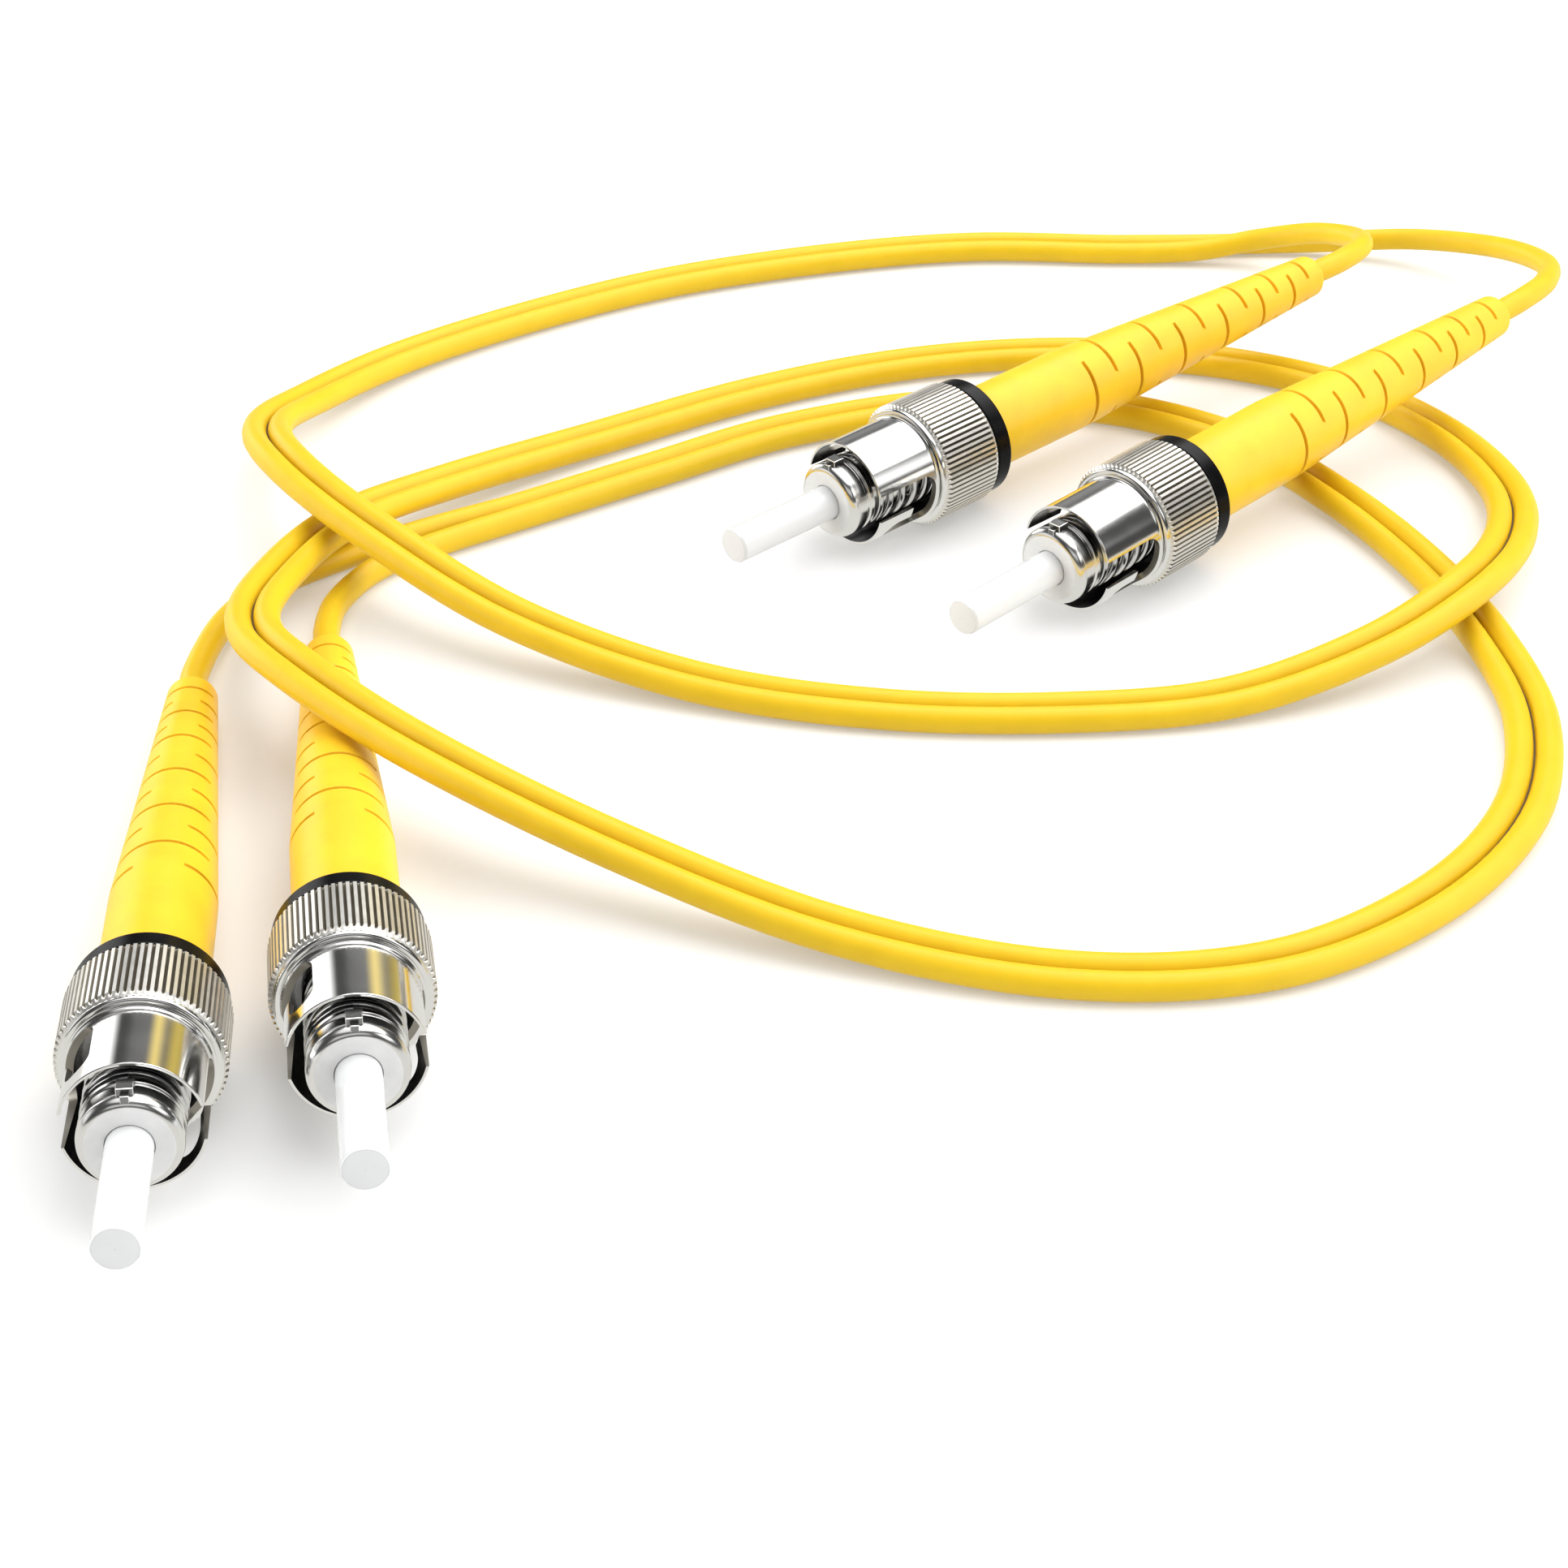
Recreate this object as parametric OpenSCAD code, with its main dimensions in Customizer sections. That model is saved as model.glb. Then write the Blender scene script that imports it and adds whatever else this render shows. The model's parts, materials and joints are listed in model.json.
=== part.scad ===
// Duplex fiber optic patch cord with four bayonet (2.5 mm ferrule) plugs.
// Millimetres, +Z up, z = 0 is the surface the cord and its plugs lie on.
// Each plug is built along +X: station 0 is the front face of its key ring,
// the ferrule points to +X, and everything behind the face has a negative station.

/* [Ferrule] */
// Diameter of the ceramic ferrule
ferrule_d = 2.5; // [2:0.05:3]
// Length of ferrule in front of the key ring
ferrule_reach = 8.8; // [6:0.1:11]
// Length of ferrule held inside the plug body
ferrule_seat = 4.5; // [3:0.1:5]
// Width of the chamfer round the ferrule tip
tip_chamfer = 0.08; // [0.02:0.01:0.25]
// Width of the glue groove round the ferrule, just inside the plug body
glue_groove_w = 0.8; // [0.6:0.05:1.2]
// Depth of the glue groove
glue_groove_depth = 0.2; // [0.16:0.02:0.3]

/* [Plug body] */
// Outer diameter of the key ring
ring_d = 5.5; // [5.2:0.05:5.8]
// Length of the key ring along the plug
ring_len = 2.2; // [1.8:0.1:2.6]
// Radius of the rounded front edge of the key ring
ring_round = 0.55; // [0.3:0.05:0.7]
// Depth of the groove behind the land of the key ring
ring_groove = 0.18; // [0.1:0.02:0.3]
// Width of the key block
key_w = 0.95; // [0.7:0.05:1.2]
// Length of the key block
key_len = 0.95; // [0.6:0.05:1.2]
// Diameter of the stem that carries spring, nut and ring
stem_d = 3.8; // [3.4:0.1:4]
// Length of stem inside the boot
stem_tail = 5.4; // [4:0.2:8]
// Diameter of the bore for the buffered fiber
fiber_bore_d = 1.1; // [1:0.05:1.3]

/* [Spring and washer] */
// Diameter of the spring wire
wire_d = 0.5; // [0.4:0.02:0.56]
// Outer diameter of the spring
spring_d = 5.5; // [5.2:0.05:5.7]
// Length of the spring as fitted
spring_len = 6.4; // [5.8:0.1:7]
// Number of turns of the spring
spring_turns = 5; // [4:1:5]
// Thickness of the thrust washer
washer_t = 0.5; // [0.3:0.05:0.8]

/* [Coupling nut] */
// Distance from the key ring face back to the nut rim
nut_setback = 1.8; // [1.2:0.1:2.4]
// Length of the coupling nut
nut_len = 11.04; // [10.5:0.02:13]
// Outer diameter of the nut barrel
barrel_d = 7.64; // [7.4:0.02:8]
// Wall of the nut barrel round the bore that takes the mating barrel
barrel_wall = 0.42; // [0.34:0.02:0.5]
// Length of the smooth barrel
barrel_len = 5.45; // [5.3:0.05:5.6]
// Height of the knurl above the barrel
knurl_rise = 0.72; // [0.6:0.02:1]
// Length of the knurled grip with both its chamfers
knurl_len = 5.15; // [4:0.05:5.2]
// Number of knurl teeth
knurl_teeth = 72; // [60:4:80]
// Depth of the knurl grooves
knurl_depth = 0.2; // [0.1:0.02:0.3]
// Width of the chamfer at each end of the knurl
knurl_chamfer = 0.25; // [0.1:0.05:0.4]
// Diameter of the hole in the rear wall of the nut
nut_rear_bore_d = 4.5; // [4.4:0.05:5]

/* [Bayonet slots] */
// Width of the entry channel and of the locking pocket
slot_w = 2; // [1.6:0.05:2.2]
// Distance from the nut rim to the back of the slot
slot_reach = 5.25; // [4.8:0.05:5.25]
// Width of the cross leg along the plug
slot_leg = 2.1; // [1.8:0.05:2.2]
// Depth of the locking pocket in front of the cross leg
pocket_reach = 2.05; // [1.6:0.05:2.3]
// Angle from the key to the first entry channel
slot_start = 90; // [80:1:100]
// Angle from the entry channel to the locking pocket
slot_turn = 43.5; // [38:0.5:48]

/* [Retaining ring] */
// Diameter of the black retaining ring
clip_d = 8.66; // [7.4:0.02:9]
// Length of the retaining ring
clip_len = 1.3; // [0.8:0.1:2]
// Chamfer of the retaining ring
clip_chamfer = 0.15; // [0.05:0.05:0.3]

/* [Crimp sleeve] */
// Wall of the crimp sleeve over the stem
crimp_wall = 0.35; // [0.25:0.05:0.45]
// Length of the crimp sleeve over the stem
crimp_len = 4.6; // [3.6:0.2:5]
// Length of the crimp neck over the cord
crimp_neck_len = 3; // [2:0.2:4]

/* [Boot] */
// Length of the strain relief boot
boot_len = 38; // [36:0.5:40]
// Diameter of the boot at the plug
boot_d = 6.2; // [6:0.05:6.6]
// Diameter of the boot where the cord leaves it
boot_end_d = 3.25; // [3:0.05:3.6]
// Radius of the rounded end of the boot
boot_end_round = 0.4; // [0.2:0.05:0.5]
// Length of the straight front of the boot
boot_straight = 10.4; // [9.6:0.1:12]
// Width of a flex slot in the boot
flex_w = 0.35; // [0.2:0.05:0.5]
// Half angle of the ribs that bridge a flex slot
flex_rib = 28; // [22:1:35]
// Distance from the boot front to the first flex slot
flex_start = 10.3; // [10:0.1:11]
// Pitch of the front flex slots
flex_pitch = 2.57; // [2.4:0.01:2.6]
// Pitch of the rear flex slots
flex_pitch_rear = 1.93; // [1.8:0.01:2.1]
// Number of front flex slots
flex_front = 8; // [6:1:8]
// Number of flex slots in all
flex_slots = 12; // [8:1:12]

/* [Cord] */
// Diameter of one jacket of the cord
cord_d = 1.8; // [1.6:0.05:1.8]
// Distance between the centres of the two jackets
pair_pitch = 1.86; // [1.84:0.01:1.9]
// Thickness of the web between the two jackets
web_t = 0.65; // [0.4:0.05:0.7]
// Diameter of the buffered fiber
buffer_d = 0.9; // [0.6:0.05:0.95]

/* [Fits] */
// Radial clearance of the washer on the stem
run_gap = 0.06; // [0.03:0.01:0.1]
// Radial clearance of the washer in the nut barrel
washer_gap = 0.3; // [0.2:0.02:0.5]
// Radial clearance of the key in the nut barrel
key_gap = 0.23; // [0.15:0.01:0.35]
// Clearance between pieces that are pressed, crimped or glued together
seat_gap = 0.02; // [0.01:0.01:0.05]
// Play between the nut and the faces it turns against
nut_play = 0.06; // [0.03:0.01:0.1]
// Radial clearance of the cord in the boot and of the boot on the crimp sleeve
boot_gap = 0.1; // [0.05:0.01:0.12]

/* [Hidden] */
$fn = 48;

// Stations along the plug, from the front face of the key ring
ring_back = -ring_len;
spring_back = ring_back - spring_len;
washer_back = spring_back - washer_t;
shoulder = washer_back - nut_play;
nut_front = -nut_setback;
nut_back = nut_front - nut_len;
clip_front = nut_back - nut_play;
clip_back = clip_front - clip_len;
stem_back = clip_back - stem_tail;
crimp_front = stem_back + crimp_len;
crimp_step = stem_back - seat_gap;
crimp_back = crimp_step - crimp_neck_len;
boot_back = clip_back - boot_len;
taper_front = clip_back - boot_straight;
knurl_front = nut_back + knurl_len;
slot_back = nut_front - slot_reach;

// Radii worked out from the sizes above
ferrule_r = ferrule_d / 2;
ring_r = ring_d / 2;
stem_r = stem_d / 2;
barrel_r = barrel_d / 2;
barrel_bore_r = barrel_r - barrel_wall;
knurl_r = barrel_r + knurl_rise;
washer_r = barrel_bore_r - washer_gap;
key_top = barrel_bore_r - key_gap;
cord_r = cord_d / 2;
crimp_r = stem_r + seat_gap + crimp_wall;
spring_r = (spring_d - wire_d) / 2;

// How the plugs lie: a and b nose down with the boot lifted by their legs,
// c and d nose up on the knurl and on the end of the boot.
nose_down = 3;
tail_rest = boot_back + boot_end_round;
nose_up = -atan((knurl_r - boot_radius(tail_rest)) / (nut_back + knurl_chamfer - tail_rest));

// Place of each key ring face on the floor plan, heading of the ferrule and tilt
function plug_place(p) =
    p == "a" ? [[10, 14], 225, nose_down] :
    p == "b" ? [[-5, 24], 222, nose_down] :
    p == "c" ? [[-40.8, -51], 276, nose_up] :
    [[-30, -45], 279, nose_up];

// The lowest edge of the knurl touches the floor
function plug_height(tilt) =
    knurl_r * cos(tilt)
    + sin(tilt) * (tilt > 0 ? knurl_front - knurl_chamfer : nut_back + knurl_chamfer);

function plug_axis(p) =
    let (place = plug_place(p))
    [cos(place[2]) * cos(place[1]), cos(place[2]) * sin(place[1]), -sin(place[2])];

// A point on the axis of a plug at a station
function plug_point(p, station) =
    let (place = plug_place(p))
    [place[0].x, place[0].y, plug_height(place[2])] + station * plug_axis(p);

module at_plug(p) {
    place = plug_place(p);
    translate([place[0].x, place[0].y, plug_height(place[2])])
        rotate([0, place[2], place[1]])
            children();
}

// A solid of revolution about the plug axis, from [radius, station] points
module turned(profile) {
    rotate([0, 90, 0])
        rotate_extrude()
            polygon(profile);
}

// A rod about the plug axis between two stations
module rod(r, back, front) {
    translate([back, 0, 0])
        rotate([0, 90, 0])
            cylinder(r = r, h = front - back);
}

// Points of a round edge: a quarter or part of a circle in [radius, station] terms
function round_edge(centre, r, from, to, steps) =
    [for (i = [0:steps]) let (a = from + (to - from) * i / steps) centre + r * [cos(a), sin(a)]];

module ferrule() {
    groove_front = -5 * seat_gap;
    color("white")
        turned([
            [0, -ferrule_seat],
            [ferrule_r, -ferrule_seat],
            [ferrule_r, groove_front - glue_groove_w],
            [ferrule_r - glue_groove_depth, groove_front - glue_groove_w],
            [ferrule_r - glue_groove_depth, groove_front],
            [ferrule_r, groove_front],
            [ferrule_r, ferrule_reach - 3 * tip_chamfer],
            [ferrule_r - tip_chamfer, ferrule_reach],
            [0, ferrule_reach],
        ]);
}

module plug_body() {
    bore_r = ferrule_r + seat_gap;
    land_back = -ring_len * 0.68;
    rim_front = -ring_len * 0.8;
    color("gainsboro") {
        turned(concat(
            [[bore_r, -ferrule_seat - seat_gap], [bore_r, 0]],
            round_edge([ring_r - ring_round, -ring_round], ring_round, 90, 0, 6),
            [
                [ring_r, land_back],
                [ring_r - ring_groove, land_back - 0.06],
                [ring_r - ring_groove, rim_front],
                [ring_r - 0.05, rim_front - 0.08],
                [ring_r - 0.05, ring_back + 0.05],
                [ring_r - 0.1, ring_back],
                [stem_r, ring_back],
                [stem_r, stem_back],
                [fiber_bore_d / 2, stem_back],
                [fiber_bore_d / 2, -ferrule_seat - seat_gap],
            ]
        ));
        key();
    }
}

// The key block with its lower step in front
module key() {
    step_len = key_len * 0.35;
    root = ring_r - ring_round;
    step_top = ring_r + 0.4 * (key_top - ring_r);
    key_front = -ring_round * 0.8;
    translate([key_front - key_len, -key_w / 2, root])
        cube([key_len, key_w, key_top - root]);
    translate([key_front - key_len, -key_w / 4, root])
        cube([key_len + step_len, key_w / 2, step_top - root]);
}

module thrust_washer() {
    color("silver")
        difference() {
            rod(washer_r, washer_back, spring_back);
            rod(stem_r + run_gap, washer_back - 1, spring_back + 1);
        }
}

// Spring wire: one unbroken helix whose ends run straight for one wire diameter
spring_start = ring_back - wire_d / 2 - seat_gap;
spring_pitch = (spring_len - wire_d - 2 * seat_gap) / spring_turns;
curl_rings = 8;
wire_sides = 6;
function helix(i) =
    let (a = 360 * i / curl_rings)
    [spring_start - spring_pitch * i / curl_rings, spring_r * cos(a), spring_r * sin(a)];
function helix_end(i, way) =
    let (a = 360 * i / curl_rings)
    helix(i) + way * wire_d * [0, -sin(a), cos(a)];
spring_last = spring_turns * curl_rings;
spring_path = concat(
    [helix_end(0, -1)],
    [for (i = [0:spring_last]) helix(i)],
    [helix_end(spring_last, 1)]
);

module spring() {
    color("darkgray")
        sweep(spring_rings());
}

function spring_rings() =
    [for (i = [0:len(spring_path) - 1])
        let (
            c = spring_path[i],
            out = unit([0, c.y, c.z]),
            t = unit(spring_path[min(i + 1, len(spring_path) - 1)] - spring_path[max(i - 1, 0)]),
            side = unit(cross(t, out))
        )
        [for (k = [0:wire_sides - 1])
            let (a = 360 * (k + 0.5) / wire_sides)
            c + wire_d / 2 * (cos(a) * out + sin(a) * side)]];

// Bayonet nut: knurled grip, smooth barrel and two J slots
module coupling_nut() {
    color("lightgray")
        difference() {
            nut_blank();
            knurl_grooves();
            for (half = [0, 180])
                rotate([half, 0, 0])
                    j_slot();
        }
}

module nut_blank() {
    barrel_back = nut_front - barrel_len;
    collar_r = knurl_r - knurl_depth - 0.05;
    flare = 0.16;
    collar_round = 0.2;
    turned(concat(
        [
            [barrel_bore_r, shoulder],
            [barrel_bore_r, nut_front],
            [barrel_r - 0.04, nut_front],
            [barrel_r, nut_front - 0.04],
        ],
        round_edge([barrel_r + flare, barrel_back + flare], flare, 180, 270, 4),
        [
            [barrel_r + flare, barrel_back - 0.04],
            [barrel_r + flare - 0.1, barrel_back - 0.06],
            [barrel_r + flare - 0.1, barrel_back - 0.12],
        ],
        round_edge([collar_r - collar_round, barrel_back - 0.12 - collar_round], collar_round, 90, 0, 4),
        [
            [collar_r, knurl_front],
            [knurl_r, knurl_front - knurl_chamfer],
            [knurl_r, nut_back + knurl_chamfer],
            [collar_r, nut_back],
            [nut_rear_bore_d / 2, nut_back],
            [nut_rear_bore_d / 2, shoulder],
        ]
    ));
}

// Straight V grooves, cut as one toothed ring that leaves the teeth standing
module knurl_grooves() {
    root = knurl_r - knurl_depth;
    peak = knurl_r + knurl_depth;
    teeth = [for (i = [0:2 * knurl_teeth - 1])
        let (a = 180 * i / knurl_teeth, r = i % 2 == 0 ? peak : root)
        r * [cos(a), sin(a)]];
    translate([nut_back - 1, 0, 0])
        rotate([0, 90, 0])
            linear_extrude(knurl_len + 1)
                difference() {
                    circle(peak + 1);
                    polygon(teeth);
                }
}

// Entry channel from the rim, cross leg and locking pocket, through one wall
module j_slot() {
    inner = barrel_bore_r - 0.4;
    outer = barrel_r + 0.4;
    leg_front = slot_back + slot_leg;
    rotate([slot_start, 0, 0])
        round_slot(nut_front + 1 + slot_w);
    rotate([slot_start - slot_turn, 0, 0])
        round_slot(leg_front + pocket_reach);
    rotate([slot_start - slot_turn, 0, 0])
        rotate([0, 90, 0])
            rotate([0, 0, 180])
                rotate_extrude(angle = slot_turn)
                    polygon([
                        [inner, slot_back], [outer, slot_back],
                        [outer, leg_front], [inner, leg_front],
                    ]);
}

// A straight slot with both ends round, cut upward through the barrel wall
module round_slot(front) {
    translate([0, 0, barrel_bore_r - 0.6])
        linear_extrude(barrel_r)
            {
                translate([slot_back + slot_w / 2, -slot_w / 2])
                    square([front - slot_back - slot_w, slot_w]);
                for (x = [slot_back + slot_w / 2, front - slot_w / 2])
                    translate([x, 0])
                        circle(slot_w / 2);
            }
}

module retaining_ring() {
    hole = stem_r + seat_gap;
    color("black")
        turned([
            [hole, clip_back],
            [hole, clip_front],
            [clip_d / 2 - clip_chamfer, clip_front],
            [clip_d / 2, clip_front - clip_chamfer],
            [clip_d / 2, clip_back + clip_chamfer],
            [clip_d / 2 - clip_chamfer, clip_back],
        ]);
}

// Sleeve crimped over the stem, with a neck crimped on the cord jacket
module crimp_sleeve() {
    stem_hole = stem_r + seat_gap;
    cord_hole = cord_r + seat_gap;
    color("goldenrod")
        turned([
            [stem_hole, crimp_front],
            [crimp_r, crimp_front],
            [crimp_r, crimp_step],
            [cord_hole + crimp_wall, crimp_step - 1],
            [cord_hole + crimp_wall, crimp_back],
            [cord_hole, crimp_back],
            [cord_hole, crimp_step],
            [stem_hole, crimp_step],
        ]);
}

module buffered_fiber() {
    color("lightyellow")
        rod(buffer_d / 2, stem_back, -ferrule_seat - seat_gap);
}

function boot_radius(station) =
    station > taper_front ? boot_d / 2 :
    boot_d / 2 - (boot_d - boot_end_d) / 2 * (taper_front - station) / (taper_front - boot_back);

// Rubber boot: straight front, long taper, and flex slots that alternate in direction
module boot() {
    socket_r = crimp_r + boot_gap;
    bore_r = cord_r + boot_gap;
    color("gold")
        difference() {
            turned(concat(
                [
                    [stem_r + seat_gap, clip_back],
                    [boot_d / 2 - 0.1, clip_back],
                    [boot_d / 2, clip_back - 0.1],
                    [boot_d / 2, taper_front],
                    [boot_radius(tail_rest), tail_rest],
                ],
                round_edge([boot_end_d / 2 - boot_end_round, tail_rest], boot_end_round, -15, -90, 4),
                [
                    [bore_r, boot_back],
                    [bore_r, crimp_back - boot_gap],
                    [bore_r + crimp_wall, crimp_back - boot_gap],
                    [bore_r + crimp_wall, crimp_step - 1],
                    [socket_r, crimp_step],
                    [socket_r, crimp_front + boot_gap],
                    [stem_r + seat_gap, crimp_front + boot_gap],
                ]
            ));
            for (i = [0:flex_slots - 1])
                flex_slot(i);
        }
}

function flex_station(i) =
    clip_back - flex_start
    - flex_pitch * min(i, flex_front - 1)
    - flex_pitch_rear * max(0, i - flex_front + 1);

// One pair of flex slots, left and right on even counts, above and below on odd ones
module flex_slot(i) {
    station = flex_station(i);
    r = boot_radius(station);
    rotate([90 * (i % 2), 0, 0])
        difference() {
            rod(r + 1, station - flex_w / 2, station + flex_w / 2);
            translate([station - flex_w, -r * sin(flex_rib), -r - 2])
                cube([2 * flex_w, 2 * r * sin(flex_rib), 2 * r + 4]);
        }
}

// Route of the zip cord, the centre line between its two jackets, chosen by hand
PAIR = [
    [20, 79, 0.95], [8, 79.5, 0.95], [-4, 77, 0.95], [-17, 72, 0.95], [-28, 65, 0.95], [-38, 56, 1.2],
    [-44, 46, 2.2], [-46, 36, 4.4], [-43, 26, 6.1], [-36, 17, 5.3], [-26, 9, 3], [-14, 3.5, 1.3],
    [-2, 0.5, 0.95], [10, 0, 0.95], [21, 1.5, 1.2], [31, 6, 2.6], [38.5, 13, 3.5], [43, 22, 2.6],
    [44.5, 32, 1.4], [42, 42, 0.95], [36, 50, 0.95], [26, 55.5, 0.95], [14, 57, 0.95], [2, 55, 0.95],
    [-10, 49.5, 0.95], [-22, 41, 1.1], [-32, 32, 2], [-39, 23, 3.2], [-42.5, 13, 3.8], [-42.5, 4, 5.2],
    [-38.5, -4.5, 6.7], [-30, -13, 6], [-18, -20, 3.6], [-5, -26, 1.6], [8, -29.5, 0.95], [20, -28.5, 0.95],
    [30, -22, 0.95], [37, -12.5, 0.95], [40, -1.5, 0.95], [39.5, 9, 0.95], [37, 20, 0.95], [32.5, 31, 0.95],
    [26, 41, 0.95], [16, 47, 0.95], [4, 47, 0.95], [-8, 42.5, 0.95], [-18, 35.5, 0.95], [-27, 29, 0.95],
];

// Routes of the split legs between the boots and the ends of the zip cord
function leg_route(p) =
    p == "a" ? [
        [52.4, 58.1, 6.7], [53.6, 64.2, 5.7], [51.5, 72.1, 3.9], [45.7, 77.9, 2.3], [37.9, 80, 1.2],
        [29, 80.1, 0.95],
    ] :
    p == "b" ? [[39, 65.8, 6.6], [39, 70.6, 5.4], [36.6, 75, 4], [32.4, 77.6, 2.4], [27, 78, 1.2]] :
    p == "c" ? [[-46, 11.7, 1], [-43.8, 16.8, 0.95], [-39.9, 20.9, 0.95], [-34.3, 25.4, 0.95]] :
    [[-38.6, 15, 1], [-36.6, 19.8, 0.95], [-33, 23.4, 0.95]];

function unit(v) = v / norm(v);

// A smooth curve through the points of a route; its first and last points only steer it
function curve(route, i, t) =
    let (a = route[i - 1], b = route[i], c = route[i + 1], d = route[i + 2])
    (2 * b + (c - a) * t + (2 * a - 5 * b + 4 * c - d) * t * t + (3 * b - a - 3 * c + d) * t * t * t) / 2;
function smooth(route, steps) = [
    for (i = [1:len(route) - 3]) for (k = [0:steps - 1]) curve(route, i, k / steps),
    route[len(route) - 2],
];

// Heading of a path at one of its points, and the level direction to its right
function heading(path, i) = unit(path[min(i + 1, len(path) - 1)] - path[max(i - 1, 0)]);
function right_of(t) = unit([t.y, -t.x, 0]);

// One jacket's outline, as points of a polygon round a centre, between two angles
jacket_sides = 8;
function jacket_arc(centre, t, first, last) =
    let (side = right_of(t), up = cross(side, t), step = 360 / jacket_sides)
    [for (k = [first:last]) centre + cord_r * (cos((k + 0.5) * step) * side + sin((k + 0.5) * step) * up)];

// Both jackets and the web between them, as one figure of eight
function pair_outline(centre, t) =
    let (side = right_of(t), up = cross(side, t), half = pair_pitch / 2 * side)
    concat(
        jacket_arc(centre + half, t, -4, 3),
        [centre + web_t / 2 * up],
        jacket_arc(centre - half, t, 0, 7),
        [centre - web_t / 2 * up]
    );

last_pair = len(PAIR) - 1;
pair_route = concat([2 * PAIR[0] - PAIR[1]], PAIR, [2 * PAIR[last_pair] - PAIR[last_pair - 1]]);
pair_path = smooth(pair_route, 2);

// Where a leg joins its jacket of the zip cord, and the way the jacket runs on from there
function joins_start(p) = p == "a" || p == "b";
function join_index(p) = joins_start(p) ? 0 : len(pair_path) - 1;
function join_point(p) =
    let (way = p == "a" || p == "c" ? 1 : -1)
    pair_path[join_index(p)] + way * pair_pitch / 2 * right_of(heading(pair_path, join_index(p)));
function join_heading(p) = (joins_start(p) ? 1 : -1) * heading(pair_path, join_index(p));

// Path of a leg: straight through crimp and boot, straight out, then along its route
leg_straight = 4;
leg_steer = 6;
function leg_path(p) = concat(
    [plug_point(p, crimp_step)],
    smooth(concat(
        [for (s = [leg_steer, 0, -leg_straight]) plug_point(p, boot_back + s)],
        leg_route(p),
        [for (s = [0, leg_steer]) join_point(p) + s * join_heading(p)]
    ), 2)
);

module zip_cord() {
    color("yellow")
        sweep([for (i = [0:len(pair_path) - 1]) pair_outline(pair_path[i], heading(pair_path, i))]);
}

module leg(p) {
    path = leg_path(p);
    last = len(path) - 1;
    color("yellow")
        sweep([for (i = [0:last])
            jacket_arc(path[i], i == last ? join_heading(p) : i < 2 ? -plug_axis(p) : heading(path, i), 0, 7)]);
}

// Closed polyhedron through rings of points that all have the same count
module sweep(rings) {
    n = len(rings[0]);
    last = len(rings) - 1;
    points = [for (ring = rings) for (p = ring) p];
    sides = [for (i = [0:last - 1]) for (k = [0:n - 1])
        let (a = i * n + k, b = i * n + (k + 1) % n)
        each [[a, b, b + n], [a, b + n, a + n]]];
    first_cap = [for (k = [1:n - 2]) [0, k + 1, k]];
    last_cap = [for (k = [1:n - 2]) [last * n, last * n + k, last * n + k + 1]];
    polyhedron(points, concat(first_cap, sides, last_cap));
}

// Least gaps of the wound forms to themselves, measured on points and printed
function least_gap(path, apart, width) =
    min([for (i = [0:len(path) - 1 - apart]) for (j = [i + apart:len(path) - 1]) norm(path[i] - path[j])])
    - width;
echo(spring_gap = least_gap(spring_path, curl_rings - 1, wire_d));
gap_path = smooth(pair_route, 4);
jackets = [for (way = [-1, 1])
    [for (i = [0:len(gap_path) - 1])
        gap_path[i] + way * pair_pitch / 2 * right_of(heading(gap_path, i))]];
echo(cord_gap = min(
    least_gap(jackets[0], 6, cord_d),
    least_gap(jackets[1], 6, cord_d),
    min([for (i = [0:len(gap_path) - 1]) for (j = [0:len(gap_path) - 1])
        if (abs(i - j) > 6) norm(jackets[0][i] - jackets[1][j])]) - cord_d
));

// The pieces of one plug, each in the plug's own place
module plug_piece(p, piece) {
    at_plug(p) {
        if (piece == "ferrule") ferrule();
        if (piece == "plug_body") plug_body();
        if (piece == "spring") spring();
        if (piece == "thrust_washer") thrust_washer();
        if (piece == "coupling_nut") coupling_nut();
        if (piece == "retaining_ring") retaining_ring();
        if (piece == "crimp_sleeve") crimp_sleeve();
        if (piece == "buffered_fiber") buffered_fiber();
        if (piece == "boot") boot();
    }
}

module a_ferrule() plug_piece("a", "ferrule");
module a_plug_body() plug_piece("a", "plug_body");
module a_spring() plug_piece("a", "spring");
module a_thrust_washer() plug_piece("a", "thrust_washer");
module a_coupling_nut() plug_piece("a", "coupling_nut");
module a_retaining_ring() plug_piece("a", "retaining_ring");
module a_crimp_sleeve() plug_piece("a", "crimp_sleeve");
module a_buffered_fiber() plug_piece("a", "buffered_fiber");
module a_boot() plug_piece("a", "boot");
module b_ferrule() plug_piece("b", "ferrule");
module b_plug_body() plug_piece("b", "plug_body");
module b_spring() plug_piece("b", "spring");
module b_thrust_washer() plug_piece("b", "thrust_washer");
module b_coupling_nut() plug_piece("b", "coupling_nut");
module b_retaining_ring() plug_piece("b", "retaining_ring");
module b_crimp_sleeve() plug_piece("b", "crimp_sleeve");
module b_buffered_fiber() plug_piece("b", "buffered_fiber");
module b_boot() plug_piece("b", "boot");
module c_ferrule() plug_piece("c", "ferrule");
module c_plug_body() plug_piece("c", "plug_body");
module c_spring() plug_piece("c", "spring");
module c_thrust_washer() plug_piece("c", "thrust_washer");
module c_coupling_nut() plug_piece("c", "coupling_nut");
module c_retaining_ring() plug_piece("c", "retaining_ring");
module c_crimp_sleeve() plug_piece("c", "crimp_sleeve");
module c_buffered_fiber() plug_piece("c", "buffered_fiber");
module c_boot() plug_piece("c", "boot");
module d_ferrule() plug_piece("d", "ferrule");
module d_plug_body() plug_piece("d", "plug_body");
module d_spring() plug_piece("d", "spring");
module d_thrust_washer() plug_piece("d", "thrust_washer");
module d_coupling_nut() plug_piece("d", "coupling_nut");
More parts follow.
